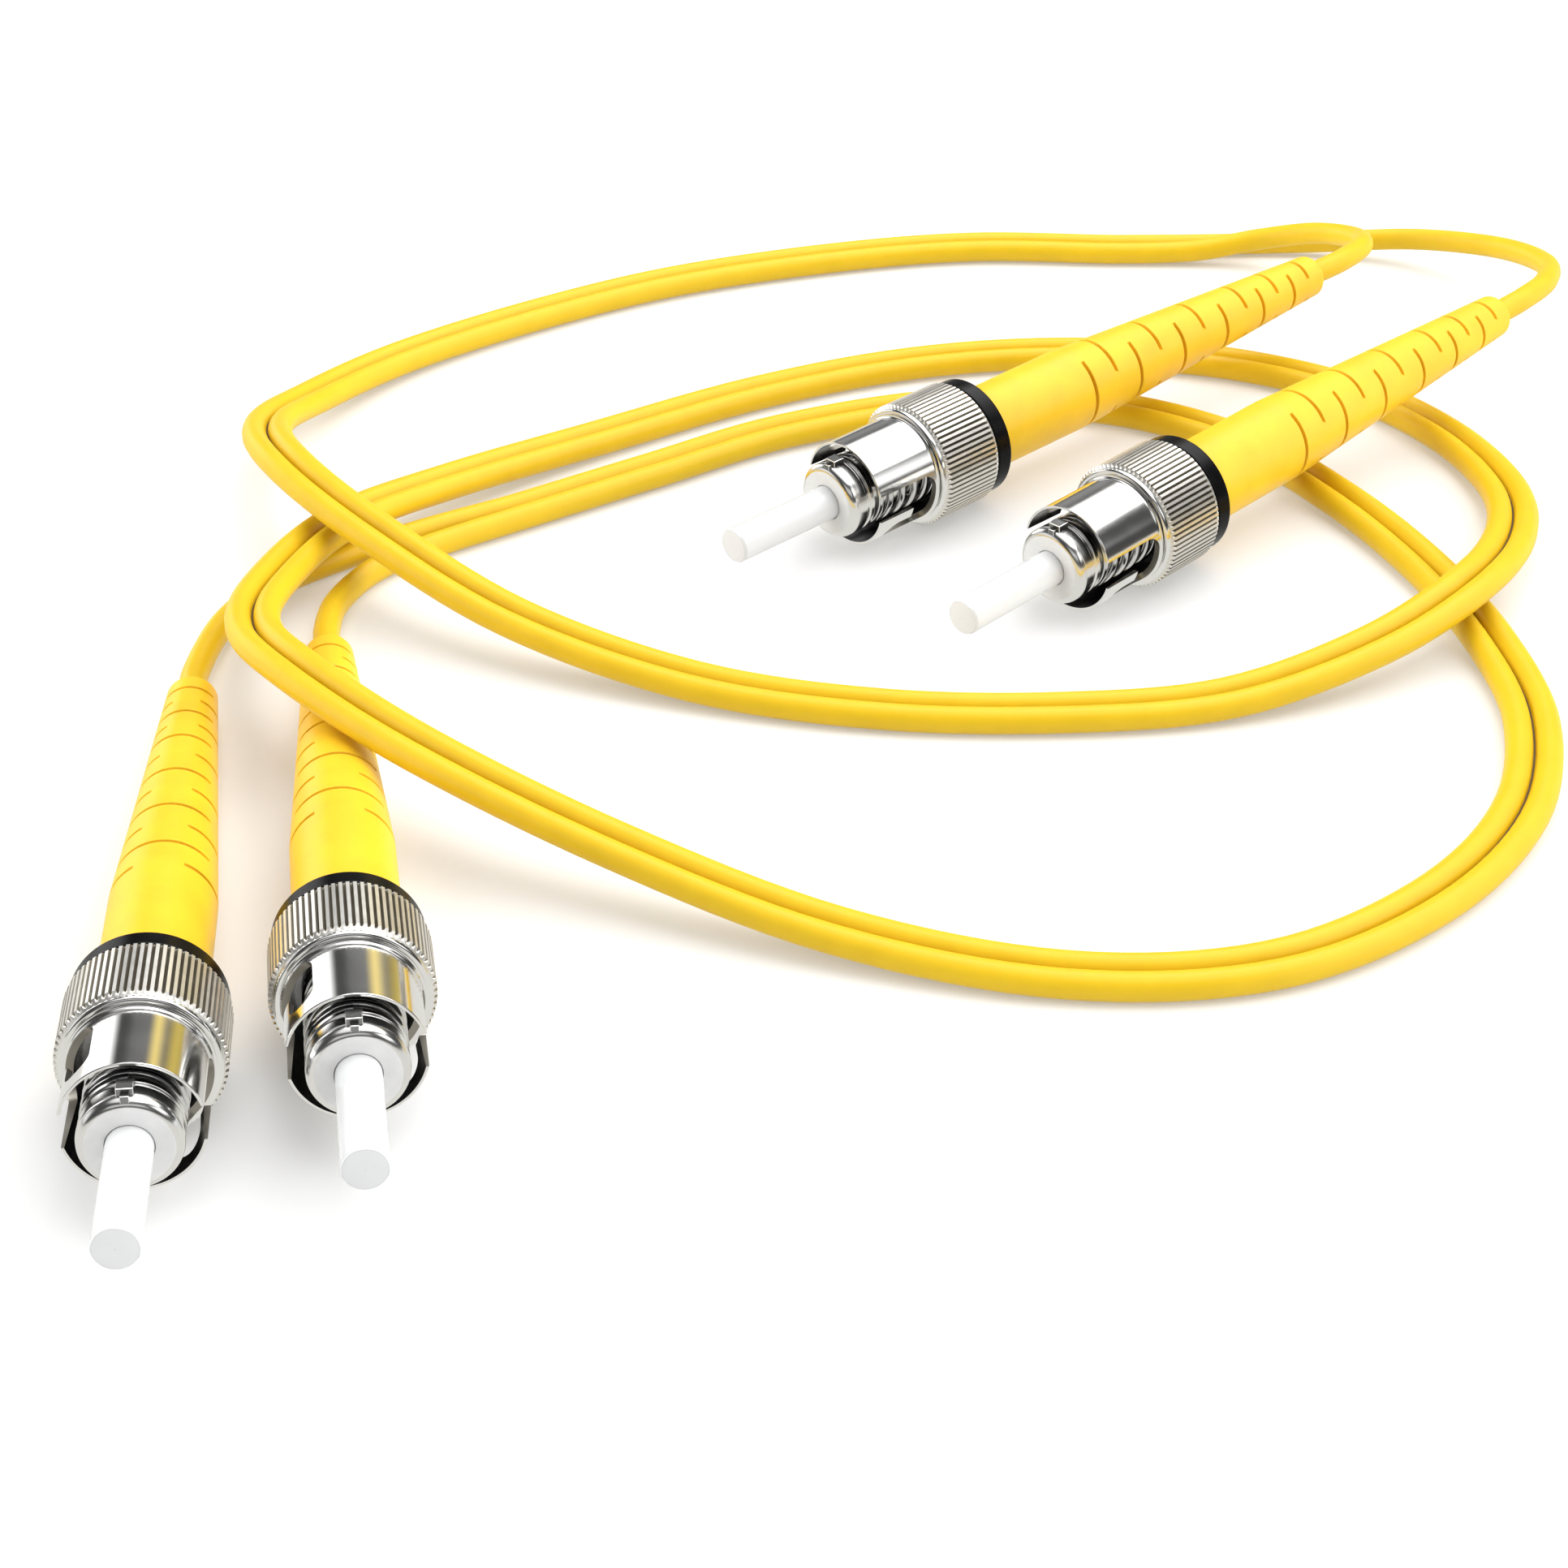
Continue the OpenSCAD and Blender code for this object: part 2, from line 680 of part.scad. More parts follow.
module d_retaining_ring() plug_piece("d", "retaining_ring");
module d_crimp_sleeve() plug_piece("d", "crimp_sleeve");
module d_buffered_fiber() plug_piece("d", "buffered_fiber");
module d_boot() plug_piece("d", "boot");
module leg_a() leg("a");
module leg_b() leg("b");
module leg_c() leg("c");
module leg_d() leg("d");

a_ferrule();
a_plug_body();
a_spring();
a_thrust_washer();
a_coupling_nut();
a_retaining_ring();
a_crimp_sleeve();
a_buffered_fiber();
a_boot();
b_ferrule();
b_plug_body();
b_spring();
b_thrust_washer();
b_coupling_nut();
b_retaining_ring();
b_crimp_sleeve();
b_buffered_fiber();
b_boot();
c_ferrule();
c_plug_body();
c_spring();
c_thrust_washer();
c_coupling_nut();
c_retaining_ring();
c_crimp_sleeve();
c_buffered_fiber();
c_boot();
d_ferrule();
d_plug_body();
d_spring();
d_thrust_washer();
d_coupling_nut();
d_retaining_ring();
d_crimp_sleeve();
d_buffered_fiber();
d_boot();
zip_cord();
leg_a();
leg_b();
leg_c();
leg_d();
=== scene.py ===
# %% [markdown]
# # A duplex fiber optic patch cord
# Two slim yellow jackets, joined side by side like a zip cord, lie in loose loops.
# At each end they split, and every split leg carries a bayonet plug.
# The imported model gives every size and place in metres, so each piece here is made
# where the model says and then rides on one of its bodies.

# %% Load the model and set up the units
import json
from math import cos, pi, radians, sin
import bmesh
import bpy
from mathutils import Matrix, Vector


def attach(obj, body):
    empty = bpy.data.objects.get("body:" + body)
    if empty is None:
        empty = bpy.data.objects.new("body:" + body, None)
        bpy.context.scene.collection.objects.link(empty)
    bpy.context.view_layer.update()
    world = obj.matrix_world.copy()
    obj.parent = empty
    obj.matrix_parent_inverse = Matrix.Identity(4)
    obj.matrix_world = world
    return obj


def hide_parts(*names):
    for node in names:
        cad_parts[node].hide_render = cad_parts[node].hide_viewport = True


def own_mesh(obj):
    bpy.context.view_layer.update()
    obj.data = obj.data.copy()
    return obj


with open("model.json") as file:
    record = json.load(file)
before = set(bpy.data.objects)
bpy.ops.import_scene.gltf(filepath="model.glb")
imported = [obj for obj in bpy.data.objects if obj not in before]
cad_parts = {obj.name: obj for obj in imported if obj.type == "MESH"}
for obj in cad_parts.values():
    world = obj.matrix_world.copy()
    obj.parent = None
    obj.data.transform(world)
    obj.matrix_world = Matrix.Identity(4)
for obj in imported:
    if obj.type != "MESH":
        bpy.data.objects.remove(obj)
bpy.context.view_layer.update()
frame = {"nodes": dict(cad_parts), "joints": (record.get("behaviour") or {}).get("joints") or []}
MM = 0.001
PLUGS = ("a", "b", "c", "d")

# %% [markdown]
# ## Camera
# A long lens held a hand's width above the table looks down on the cord.
# Placing it by its height, its distance and its pitch keeps the horizon level.

# %% Place the camera
CAMERA_PLACE = Vector((-8, -177, 104)) * MM
CAMERA_PITCH = radians(31.5)
CAMERA_LENS = 72.8
camera_data = bpy.data.cameras.new("camera")
camera_data.sensor_width = 36
camera_data.lens = CAMERA_LENS
camera_data.clip_start = 10 * MM
camera = bpy.data.objects.new("camera", camera_data)
camera.location = CAMERA_PLACE
camera.rotation_euler = (pi / 2 - CAMERA_PITCH, 0, 0)
bpy.context.scene.collection.objects.link(camera)
bpy.context.scene.camera = camera
print("camera above the table, mm:", round(CAMERA_PLACE.z / MM))

# %% [markdown]
# ## Where each plug lies
# The slide joint of a coupling nut runs along its plug's axis, so the joint tells
# where the plug is and where its ferrule points. Each plug gets one matrix: X runs
# forward along the axis, Z leans up, and the origin is the face of the key ring.
# Stations along a plug are in millimetres from that face, and backward is minus.

# %% Find each plug's own axes
SPRING_BACK = -8.6
BOOT_END = -52.2


def plug_matrix(plug):
    slide = next(j for j in frame["joints"] if j["name"] == plug + "_nut_slide")
    forward = Vector(slide["axis"]).normalized()
    level = Vector((0, 0, 1)).cross(forward).normalized()
    up = forward.cross(level)
    origin = Vector(slide["pos_m"]) - SPRING_BACK * MM * forward
    matrix = Matrix((forward, level, up)).transposed().to_4x4()
    matrix.translation = origin
    return matrix


plug_at = {plug: plug_matrix(plug) for plug in PLUGS}
for plug in PLUGS:
    print(plug, [round(x / MM, 1) for x in plug_at[plug].translation])

# %% [markdown]
# ## The cord's route
# The zip cord was laid out as a list of points, in millimetres. Where one run
# passes over another, the points rise to let it lie on top. A leg has its own short
# list from the boot to the place where the two jackets join.

# %% Lay out the route
CORD_D = 1.8 * MM
PAIR_PITCH = 1.86 * MM
PAIR = [
    (20, 79, 0.95), (8, 79.5, 0.95), (-4, 77, 0.95), (-17, 72, 0.95), (-28, 65, 0.95),
    (-38, 56, 1.2), (-44, 46, 2.2), (-46, 36, 4.4), (-43, 26, 6.1), (-36, 17, 5.3),
    (-26, 9, 3), (-14, 3.5, 1.3), (-2, 0.5, 0.95), (10, 0, 0.95), (21, 1.5, 1.2),
    (31, 6, 2.6), (38.5, 13, 3.5), (43, 22, 2.6), (44.5, 32, 1.4), (42, 42, 0.95),
    (36, 50, 0.95), (26, 55.5, 0.95), (14, 57, 0.95), (2, 55, 0.95), (-10, 49.5, 0.95),
    (-22, 41, 1.1), (-32, 32, 2), (-39, 23, 3.2), (-42.5, 13, 3.8), (-42.5, 4, 5.2),
    (-38.5, -4.5, 6.7), (-30, -13, 6), (-18, -20, 3.6), (-5, -26, 1.6), (8, -29.5, 0.95),
    (20, -28.5, 0.95), (30, -22, 0.95), (37, -12.5, 0.95), (40, -1.5, 0.95), (39.5, 9, 0.95),
    (37, 20, 0.95), (32.5, 31, 0.95), (26, 41, 0.95), (16, 47, 0.95), (4, 47, 0.95),
    (-8, 42.5, 0.95), (-18, 35.5, 0.95), (-27, 29, 0.95),
]
LEGS = {
    "a": [
        (52.4, 58.1, 6.7), (53.6, 64.2, 5.7), (51.5, 72.1, 3.9), (45.7, 77.9, 2.3), (37.9, 80, 1.2),
        (29, 80.1, 0.95),
    ],
    "b": [(39, 65.8, 6.6), (39, 70.6, 5.4), (36.6, 75, 4), (32.4, 77.6, 2.4), (27, 78, 1.2)],
    "c": [(-46, 11.7, 1), (-43.8, 16.8, 0.95), (-39.9, 20.9, 0.95), (-34.3, 25.4, 0.95)],
    "d": [(-38.6, 15, 1), (-36.6, 19.8, 0.95), (-33, 23.4, 0.95)],
}
print("points of the zip cord:", len(PAIR), "of the legs:", sum(len(leg) for leg in LEGS.values()))

# %% [markdown]
# A stiff little cord never bends in corners. A Catmull-Rom curve passes through each
# point and keeps its direction there, so a few given points become an even line.

# %% Smooth the route
STEPS = 8


def smooth(route):
    """Points of a smooth curve; the first and last points of the route only steer it."""
    points = []
    for a, b, c, d in zip(route, route[1:], route[2:], route[3:]):
        for k in range(STEPS):
            t = k / STEPS
            bend = 2 * b + (c - a) * t + (2 * a - 5 * b + 4 * c - d) * t**2
            points.append((bend + (3 * b - a - 3 * c + d) * t**3) / 2)
    return points + [route[-2]]


def headings(path):
    """The direction of a path at each of its points."""
    after = path[1:] + path[-1:]
    before = path[:1] + path[:-1]
    return [(n - p).normalized() for p, n in zip(before, after)]


def right_of(heading):
    return Vector((heading.y, -heading.x, 0)).normalized()


def length_of(path):
    return sum((b - a).length for a, b in zip(path, path[1:]))


middle = [Vector(p) * MM for p in PAIR]
middle = [2 * middle[0] - middle[1]] + middle + [2 * middle[-1] - middle[-2]]
pair_path = smooth(middle)
pair_way = headings(pair_path)
print("zip cord, mm:", round(length_of(pair_path) / MM))

# %% [markdown]
# Each jacket is one unbroken strand from plug to plug: out of a boot, along its own
# leg, down the whole zip cord and out along the leg at the other end. In the zip cord
# it runs half a pitch to one side of the middle line.

# %% Run the two strands from plug to plug
LEG_STRAIGHT = 4 * MM
LEG_STEER = 6 * MM
LEG_TUCK = 5 * MM


def leg_path(plug, join, onward):
    """A leg from a little way inside its boot to the place where it joins the zip cord."""
    steps = (LEG_TUCK + LEG_STEER, LEG_TUCK, 0, -LEG_STRAIGHT)
    out = [plug_at[plug] @ Vector((BOOT_END * MM + step, 0, 0)) for step in steps]
    return smooth(out + [Vector(p) * MM for p in LEGS[plug]] + [join, join + LEG_STEER * onward])


def strand_path(first, last, side):
    jacket = [p + side * PAIR_PITCH / 2 * right_of(w) for p, w in zip(pair_path, pair_way)]
    start = leg_path(first, jacket[0], pair_way[0])
    end = leg_path(last, jacket[-1], -pair_way[-1])
    return start[:-1] + jacket + end[::-1][1:]


strand_paths = {"ac": strand_path("a", "c", 1), "bd": strand_path("b", "d", -1)}
strand_length = {name: length_of(path) for name, path in strand_paths.items()}
for name, length in strand_length.items():
    print("strand", name, "mm:", round(length / MM))

# %% [markdown]
# A round jacket is a curve with a bevel, which stays light and easy to bend again.
# The bevel depth is multiplied by the radius kept at each point. The real radius is
# kept at the points, so the curve's own box is the cord's true box.

# %% Make the strands as round curves
BEVEL_ROUNDNESS = 5


def tube(name, path, radius):
    data = bpy.data.curves.new(name, "CURVE")
    data.dimensions = "3D"
    data.bevel_depth = 1
    data.bevel_resolution = BEVEL_ROUNDNESS
    spline = data.splines.new("POLY")
    spline.points.add(len(path) - 1)
    for point, place in zip(spline.points, path):
        point.co = (*place, 1)
        point.radius = radius
    spline.use_smooth = True
    piece = bpy.data.objects.new(name, data)
    bpy.context.scene.collection.objects.link(piece)
    return piece


strands = {name: tube("strand_" + name, path, CORD_D / 2) for name, path in strand_paths.items()}
for strand in strands.values():
    print(strand.name, "points:", len(strand.data.splines[0].points))

# %% [markdown]
# The web is the thin strip of the same plastic that joins the two jackets. It sits
# below their tops and its finish is painted shade, so the pair shows one dark line down
# its middle. A flat section doesn't suit a bevelled curve, so the strip is built ring by ring as a
# mesh.

# %% Build the web
WEB_W = 0.5 * MM
WEB_T = 0.3 * MM


def ribbon(name, path, ways, width, thickness):
    """A strip with a rectangular section that lies level along a path."""
    mesh = bpy.data.meshes.new(name)
    shape = bmesh.new()
    rings = []
    for place, way in zip(path, ways):
        side = right_of(way) * width / 2
        up = right_of(way).cross(way) * thickness / 2
        corners = (place + side + up, place - side + up, place - side - up, place + side - up)
        rings.append([shape.verts.new(corner) for corner in corners])
    for ring, after in zip(rings, rings[1:]):
        for k in range(len(ring)):
            shape.faces.new((ring[k], ring[k - 1], after[k - 1], after[k]))
    shape.faces.new(rings[0])
    shape.faces.new(rings[-1][::-1])
    bmesh.ops.recalc_face_normals(shape, faces=shape.faces)
    shape.to_mesh(mesh)
    shape.free()
    piece = bpy.data.objects.new(name, mesh)
    bpy.context.scene.collection.objects.link(piece)
    return piece


web = ribbon("cord_web", pair_path, pair_way, WEB_W, WEB_T)
print("web sections:", len(pair_path))

# %% [markdown]
# A strand stands for the zip cord or for legs of the model and rides on the body that
# holds the whole cord. The web goes wherever the first strand goes.

for name, nodes in (("ac", ("zip_cord", "leg_a", "leg_c")), ("bd", ("leg_b", "leg_d"))):
    strand = strands[name]
    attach(strand, "cord_set")
    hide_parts(*nodes)
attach(web, "cord_set")

# %% [markdown]
# ## Finishes
# Every finish starts from the Principled shader. A noise texture varies its colour
# and its roughness a little, and a fine bump breaks up the gloss, because no real
# surface is perfectly even. Numbers that are the same all over stay on the shader.

# %% Make the helper for finishes
NOISE_DETAIL = 4
DARKER_AT = 0.3
LIGHTER_AT = 0.7
ROUGHNESS_DRIFT = 0.2
BUMP_HEIGHT = 0.05 * MM


def finish(name, color, roughness, metallic=0.0, grain=900.0, tint=0.06, bump=0.02, **plain):
    """A Principled material that drifts a little; grain is the noise's scale to a metre."""
    material = bpy.data.materials.new(name)
    material.use_nodes = True
    nodes = material.node_tree.nodes
    links = material.node_tree.links
    shader = nodes["Principled BSDF"]
    shader.inputs["Metallic"].default_value = metallic
    for socket, value in plain.items():
        shader.inputs[socket.replace("_", " ")].default_value = value
    place = nodes.new("ShaderNodeTexCoord")
    noise = nodes.new("ShaderNodeTexNoise")
    noise.inputs["Scale"].default_value = grain
    noise.inputs["Detail"].default_value = NOISE_DETAIL
    links.new(place.outputs["Object"], noise.inputs["Vector"])
    shades = nodes.new("ShaderNodeValToRGB")
    darker, lighter = shades.color_ramp.elements
    darker.position = DARKER_AT
    lighter.position = LIGHTER_AT
    darker.color = (*[c * (1 - tint) for c in color], 1)
    lighter.color = (*[min(1, c * (1 + tint)) for c in color], 1)
    links.new(noise.outputs["Fac"], shades.inputs["Fac"])
    links.new(shades.outputs["Color"], shader.inputs["Base Color"])
    rough = nodes.new("ShaderNodeMapRange")
    rough.inputs["To Min"].default_value = roughness * (1 - ROUGHNESS_DRIFT)
    rough.inputs["To Max"].default_value = roughness * (1 + ROUGHNESS_DRIFT)
    links.new(noise.outputs["Fac"], rough.inputs["Value"])
    links.new(rough.outputs["Result"], shader.inputs["Roughness"])
    bumps = nodes.new("ShaderNodeBump")
    bumps.inputs["Strength"].default_value = bump
    bumps.inputs["Distance"].default_value = BUMP_HEIGHT
    links.new(noise.outputs["Fac"], bumps.inputs["Height"])
    links.new(bumps.outputs["Normal"], shader.inputs["Normal"])
    return material


def wear(piece, material):
    piece.data.materials.clear()
    piece.data.materials.append(material)


print("height of a bump at full strength, mm:", BUMP_HEIGHT / MM)

# %% [markdown]
# The jackets and the boots are soft plastics: some light sinks in and comes out again,
# which subsurface scattering gives, and their gloss is low. The web lies in the gap
# between two jackets, so its finish is painted shade: the same yellow as if in deep shade.

# %% Mix the plastics
jacket = finish(
    "yellow_jacket", (0.69, 0.455, 0.012), 0.4, grain=500, tint=0.03,
    Subsurface_Weight=0.1, Subsurface_Scale=0.6 * MM, Specular_IOR_Level=0.25,
)
boot_rubber = finish(
    "golden_boot", (0.8, 0.5, 0.016), 0.42, grain=400, bump=0.03,
    Subsurface_Weight=0.1, Subsurface_Scale=0.8 * MM, Specular_IOR_Level=0.35,
)
black = finish(
    "black_ring", (0.004, 0.004, 0.0045), 0.22, tint=0.2, bump=0.01,
    Specular_IOR_Level=0.09,
)
buffer_plastic = finish("fiber_buffer", (0.9, 0.86, 0.7), 0.4)
# Painted shade: the web's finish is the jacket yellow made very dark.
web_shade_paint = finish("web_painted_shade", (0.05, 0.028, 0.004), 0.6)
for piece, material in ((strands["ac"], jacket), (strands["bd"], jacket), (web, web_shade_paint)):
    wear(piece, material)
plastics = (jacket, boot_rubber, black, buffer_plastic, web_shade_paint)
print("plastics:", *[material.name for material in plastics])

# %% [markdown]
# The nut is plated with bright nickel, the spring is hard steel, the crimp sleeve is
# brass and the ferrule is white ceramic with a clear, smooth surface.

# %% Mix the metals and the ceramic
nickel = finish(
    "bright_nickel", (0.88, 0.875, 0.86), 0.13, metallic=1.0, grain=700, tint=0.02, bump=0.0008,
)
steel = finish("spring_steel", (0.7, 0.7, 0.7), 0.2, metallic=1.0, grain=1500)
brass = finish("crimp_brass", (0.72, 0.5, 0.2), 0.3, metallic=1.0)
ceramic = finish(
    "white_ceramic", (0.65, 0.655, 0.66), 0.12, grain=1200, tint=0.01, bump=0.005, Coat_Weight=0.2,
)
hard = (nickel, steel, brass, ceramic)
print("metals and ceramic:", *[material.name for material in hard])

# %% [markdown]
# The washer behind the spring, the crimp sleeve and the buffered fiber are simple
# turned pieces that hardly show, so the model's own solids stay and only get a finish.

# %% Finish the solids that stay
KEPT = {"thrust_washer": steel, "crimp_sleeve": brass, "buffered_fiber": buffer_plastic}
for plug in PLUGS:
    for part, material in KEPT.items():
        wear(frame["nodes"][plug + "_" + part], material)
print("solids that stay:", len(PLUGS) * len(KEPT))

# %% [markdown]
# ## Turned pieces
# Nearly every piece of a plug is made on a lathe. A profile of (station, radius)
# points, swept round the X axis, is the same operation. A maker also takes the sharp
# edge off each corner, so a profile can be softened before it is swept.

# %% Helpers for profiles
NEARLY_STRAIGHT = 165


def soften(profile, size, steps=2):
    """Round each corner of a profile, but never by more than a third of its shorter side."""
    out = []
    for i, corner in enumerate(profile):
        here = Vector(corner)
        before = Vector(profile[i - 1]) - here
        after = Vector(profile[(i + 1) % len(profile)]) - here
        if before.angle(after, pi) > radians(NEARLY_STRAIGHT):
            out.append(here)
            continue
        reach = min(size, before.length / 3, after.length / 3)
        first = here + before.normalized() * reach
        last = here + after.normalized() * reach
        for k in range(steps + 1):
            t = k / steps
            out.append(first * (1 - t) ** 2 + here * 2 * t * (1 - t) + last * t**2)
    return out


def quarter_turn(steps):
    """Even angles from 0 to a right angle."""
    return [pi / 2 * k / steps for k in range(steps + 1)]


def nose(station, radius, size, steps):
    """A quarter circle from a front face out to the side."""
    return [
        (station - size + size * cos(a), radius - size + size * sin(a)) for a in quarter_turn(steps)
    ]


square = [(0, 1), (1, 1), (1, 2), (0, 2)]
print("points of a square, plain and softened:", len(square), len(soften(square, 0.1)))

# %% [markdown]
# The lathe makes a ring of vertices for each point of the profile, and joins each ring
# to the next one with quads. The last ring joins the first, so a profile is a closed
# loop. A radius that also depends on the angle gives knurls and slots in one sweep.

# %% Helper for turning
def lathe(shape, profile, segments, radius_at=None):
    """Sweep a closed profile, in mm, round X; radius_at may change the radius with the angle."""
    rings = []
    for station, radius in profile:
        ring = []
        for k in range(segments):
            angle = 2 * pi * k / segments
            r = radius_at(station, radius, k) if radius_at else radius
            ring.append(shape.verts.new(Vector((station, -r * sin(angle), r * cos(angle))) * MM))
        rings.append(ring)
    for ring, after in zip(rings, rings[1:] + rings[:1]):
        for k in range(segments):
            shape.faces.new((ring[k - 1], ring[k], after[k], after[k - 1]))


trial = bmesh.new()
lathe(trial, square, 8)
print("faces of a square turned in 8 steps:", len(trial.faces))
trial.free()

# %% [markdown]
# A turned shape becomes an object with smooth faces, and its real edges are marked
# sharp by their angle. Polished metal shows every bend of its normals, so the corner
# normals are set one by one: each one follows the large faces that meet there.

# %% Helpers for meshes
CREASE = 35


def to_object(name, shape, smooth_angle=CREASE):
    bmesh.ops.recalc_face_normals(shape, faces=shape.faces)
    mesh = bpy.data.meshes.new(name)
    shape.to_mesh(mesh)
    shape.free()
    for face in mesh.polygons:
        face.use_smooth = True
    mesh.set_sharp_from_angle(angle=radians(smooth_angle))
    piece = bpy.data.objects.new(name, mesh)
    bpy.context.scene.collection.objects.link(piece)
    return piece


def hold_shine(piece):
    """Let large faces keep their own normals, so that small roundings bend no reflections."""
    mesh = piece.data
    around = [[] for _ in mesh.vertices]
    for face in mesh.polygons:
        for v in face.vertices:
            around[v].append((face.normal.copy(), (face.area / MM**2) ** 2))
    least = cos(radians(CREASE))
    normals = []
    for face in mesh.polygons:
        for v in face.vertices:
            near = [n * weight for n, weight in around[v] if n.dot(face.normal) > least]
            normals.append(sum(near, Vector()).normalized())
    mesh.normals_split_custom_set(normals)


print("usual angle of a crease, degrees:", CREASE)

# %% [markdown]
# The four plugs are alike, so each piece is made once, in the plug's own axes, and
# then copied to the four plugs. There it rides on its body and stands for its nodes.

# %% Helper for the four plugs
def fit_to_plugs(pattern, part, body, slot, nodes, *materials):
    """Copy a piece made in plug axes to the four plugs, and let it ride on its body there."""
    hold_shine(pattern)
    pieces = {}
    for plug in PLUGS:
        mesh = pattern.data.copy()
        mesh.transform(plug_at[plug])
        piece = bpy.data.objects.new(plug + "_" + part, mesh)
        bpy.context.scene.collection.objects.link(piece)
        for material in materials:
            mesh.materials.append(material)
        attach(piece, body.format(plug))
        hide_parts(*[plug + "_" + node for node in nodes])
        pieces[plug] = piece
    bpy.data.objects.remove(pattern)
    print(part, "faces:", len(pieces["a"].data.polygons))
    return pieces


print("each pattern goes to the plugs:", *PLUGS)

# %% [markdown]
# ## Ferrule
# A rod of white zirconia, 2.5 mm across, that holds the fiber. Its tip is polished
# to a very slight dome inside a fine chamfer, and the fiber's end is a tiny dot. The
# dot is a short rod of its own, because glass and ceramic have different finishes. The
# lathe here can't close on its axis, so the dot keeps a pinhole too small to see.

# %% Turn the ferrule
FERRULE_R = 1.25
FERRULE_REACH = 8.8
FERRULE_SEAT = 4.5
TIP_CHAMFER = 0.08
TIP_ROUND = 0.03
DOME = 0.03
DOME_RINGS = (0.9, 0.6, 0.3)
FIBER_R = 0.0625
FIBER_CORE = 0.01
FIBER_DEPTH = 1


def ferrule():
    shape = bmesh.new()
    dome = [(FERRULE_REACH - DOME * (r / FERRULE_R) ** 2, r) for r in (*DOME_RINGS, FIBER_R)]
    side = (FERRULE_REACH - 3 * TIP_CHAMFER, FERRULE_R)
    rim = (FERRULE_REACH - DOME, FERRULE_R - TIP_CHAMFER)
    tip = soften([side, rim], TIP_ROUND)
    lathe(shape, [(-FERRULE_SEAT, FIBER_R), (-FERRULE_SEAT, FERRULE_R), *tip, *dome], 96)
    return to_object("ferrule", shape, smooth_angle=50)


def fiber_end():
    shape = bmesh.new()
    back = FERRULE_REACH - FIBER_DEPTH
    front = FERRULE_REACH
    outline = [(back, FIBER_CORE), (back, FIBER_R), (front, FIBER_R), (front, FIBER_CORE)]
    lathe(shape, outline, 24)
    return to_object("fiber_end", shape)


glass = finish("fiber_glass", (0.6, 0.61, 0.63), 0.05, grain=5000, bump=0.0)
fit_to_plugs(ferrule(), "ferrule_rod", "cord_set", "ceramic", ["ferrule"], ceramic)
fit_to_plugs(fiber_end(), "fiber_end", "cord_set", "ceramic", [], glass)

# %% [markdown]
# ## Plug body
# One turned piece of plated metal: the key ring with its broad round nose, a fine
# line, a land, a groove and a rim, and then the stem that carries all the rest. The
# small stepped key sits on the ring and lines the plug up in its socket.

# %% Draw the profile of the plug body
RING_R = 2.75
RING_ROUND = 0.55
RING_BACK = -2.2
LINE_FRONT = -0.58
LINE_BACK = -0.7
LINE_SLOPE = 0.03
LINE_DEPTH = 0.05
GROOVE_FRONT = -1.46
GROOVE_BACK = -1.84
GROOVE_SLOPE = 0.08
GROOVE_DEPTH = 0.18
RIM_DROP = 0.04
RIM_CHAMFER = 0.06
STEM_R = 1.9
STEM_BACK = -19.6
FERRULE_GAP = 0.02
MOUTH_CHAMFER = 0.04
EDGE_ROUND = 0.04


def body_profile():
    line = [
        (LINE_FRONT, RING_R), (LINE_FRONT - LINE_SLOPE, RING_R - LINE_DEPTH),
        (LINE_BACK + LINE_SLOPE, RING_R - LINE_DEPTH), (LINE_BACK, RING_R),
    ]
    groove = [
        (GROOVE_FRONT, RING_R), (GROOVE_FRONT - GROOVE_SLOPE, RING_R - GROOVE_DEPTH),
        (GROOVE_BACK + GROOVE_SLOPE, RING_R - GROOVE_DEPTH), (GROOVE_BACK, RING_R - RIM_DROP),
    ]
    rim = [(RING_BACK + RIM_CHAMFER, RING_R - RIM_DROP), (RING_BACK, RING_R - RIM_DROP - RIM_CHAMFER)]
    stem = [(RING_BACK, STEM_R), (STEM_BACK, STEM_R)]
    seat = FERRULE_R + FERRULE_GAP
    mouth = [(STEM_BACK, seat), (-MOUTH_CHAMFER, seat), (0, seat + MOUTH_CHAMFER)]
    back = soften([*groove, *rim, *stem, *mouth], EDGE_ROUND)
    return [*nose(0, RING_R, RING_ROUND, 8), *line, *back]


print("points in the profile:", len(body_profile()))

# %% [markdown]
# The key has two steps, each a block with its edges broken. The front face of the ring
# is a little duller than the turned sides, and the key is painted darker still, as shade,
# so the piece carries three finishes that its faces point to by number.

# %% Turn the plug body and add its key
KEY_TOP = 3.17
KEY_STEPS = (
    {"back": -1.4, "front": -0.45, "half": 0.46, "top": KEY_TOP, "bevel": 0.05},
    {"back": -1.2, "front": -0.11, "half": 0.24, "top": RING_R + 0.16, "bevel": 0.04},
)
TURNED_SIDE, FRONT_FACE, KEY_FACE = range(3)
FACE_DEPTH = 0.012


def bevelled_block(shape, low, high, bevel):
    made = bmesh.ops.create_cube(shape, size=1)["verts"]
    for vert in made:
        vert.co = Vector([(a + b) / 2 + c * (b - a) for a, b, c in zip(low, high, vert.co)]) * MM
        for face in vert.link_faces:
            face.material_index = KEY_FACE
    edges = list({edge for vert in made for edge in vert.link_edges})
    bmesh.ops.bevel(shape, geom=edges, offset=bevel * MM, segments=2, profile=0.5, affect="EDGES")


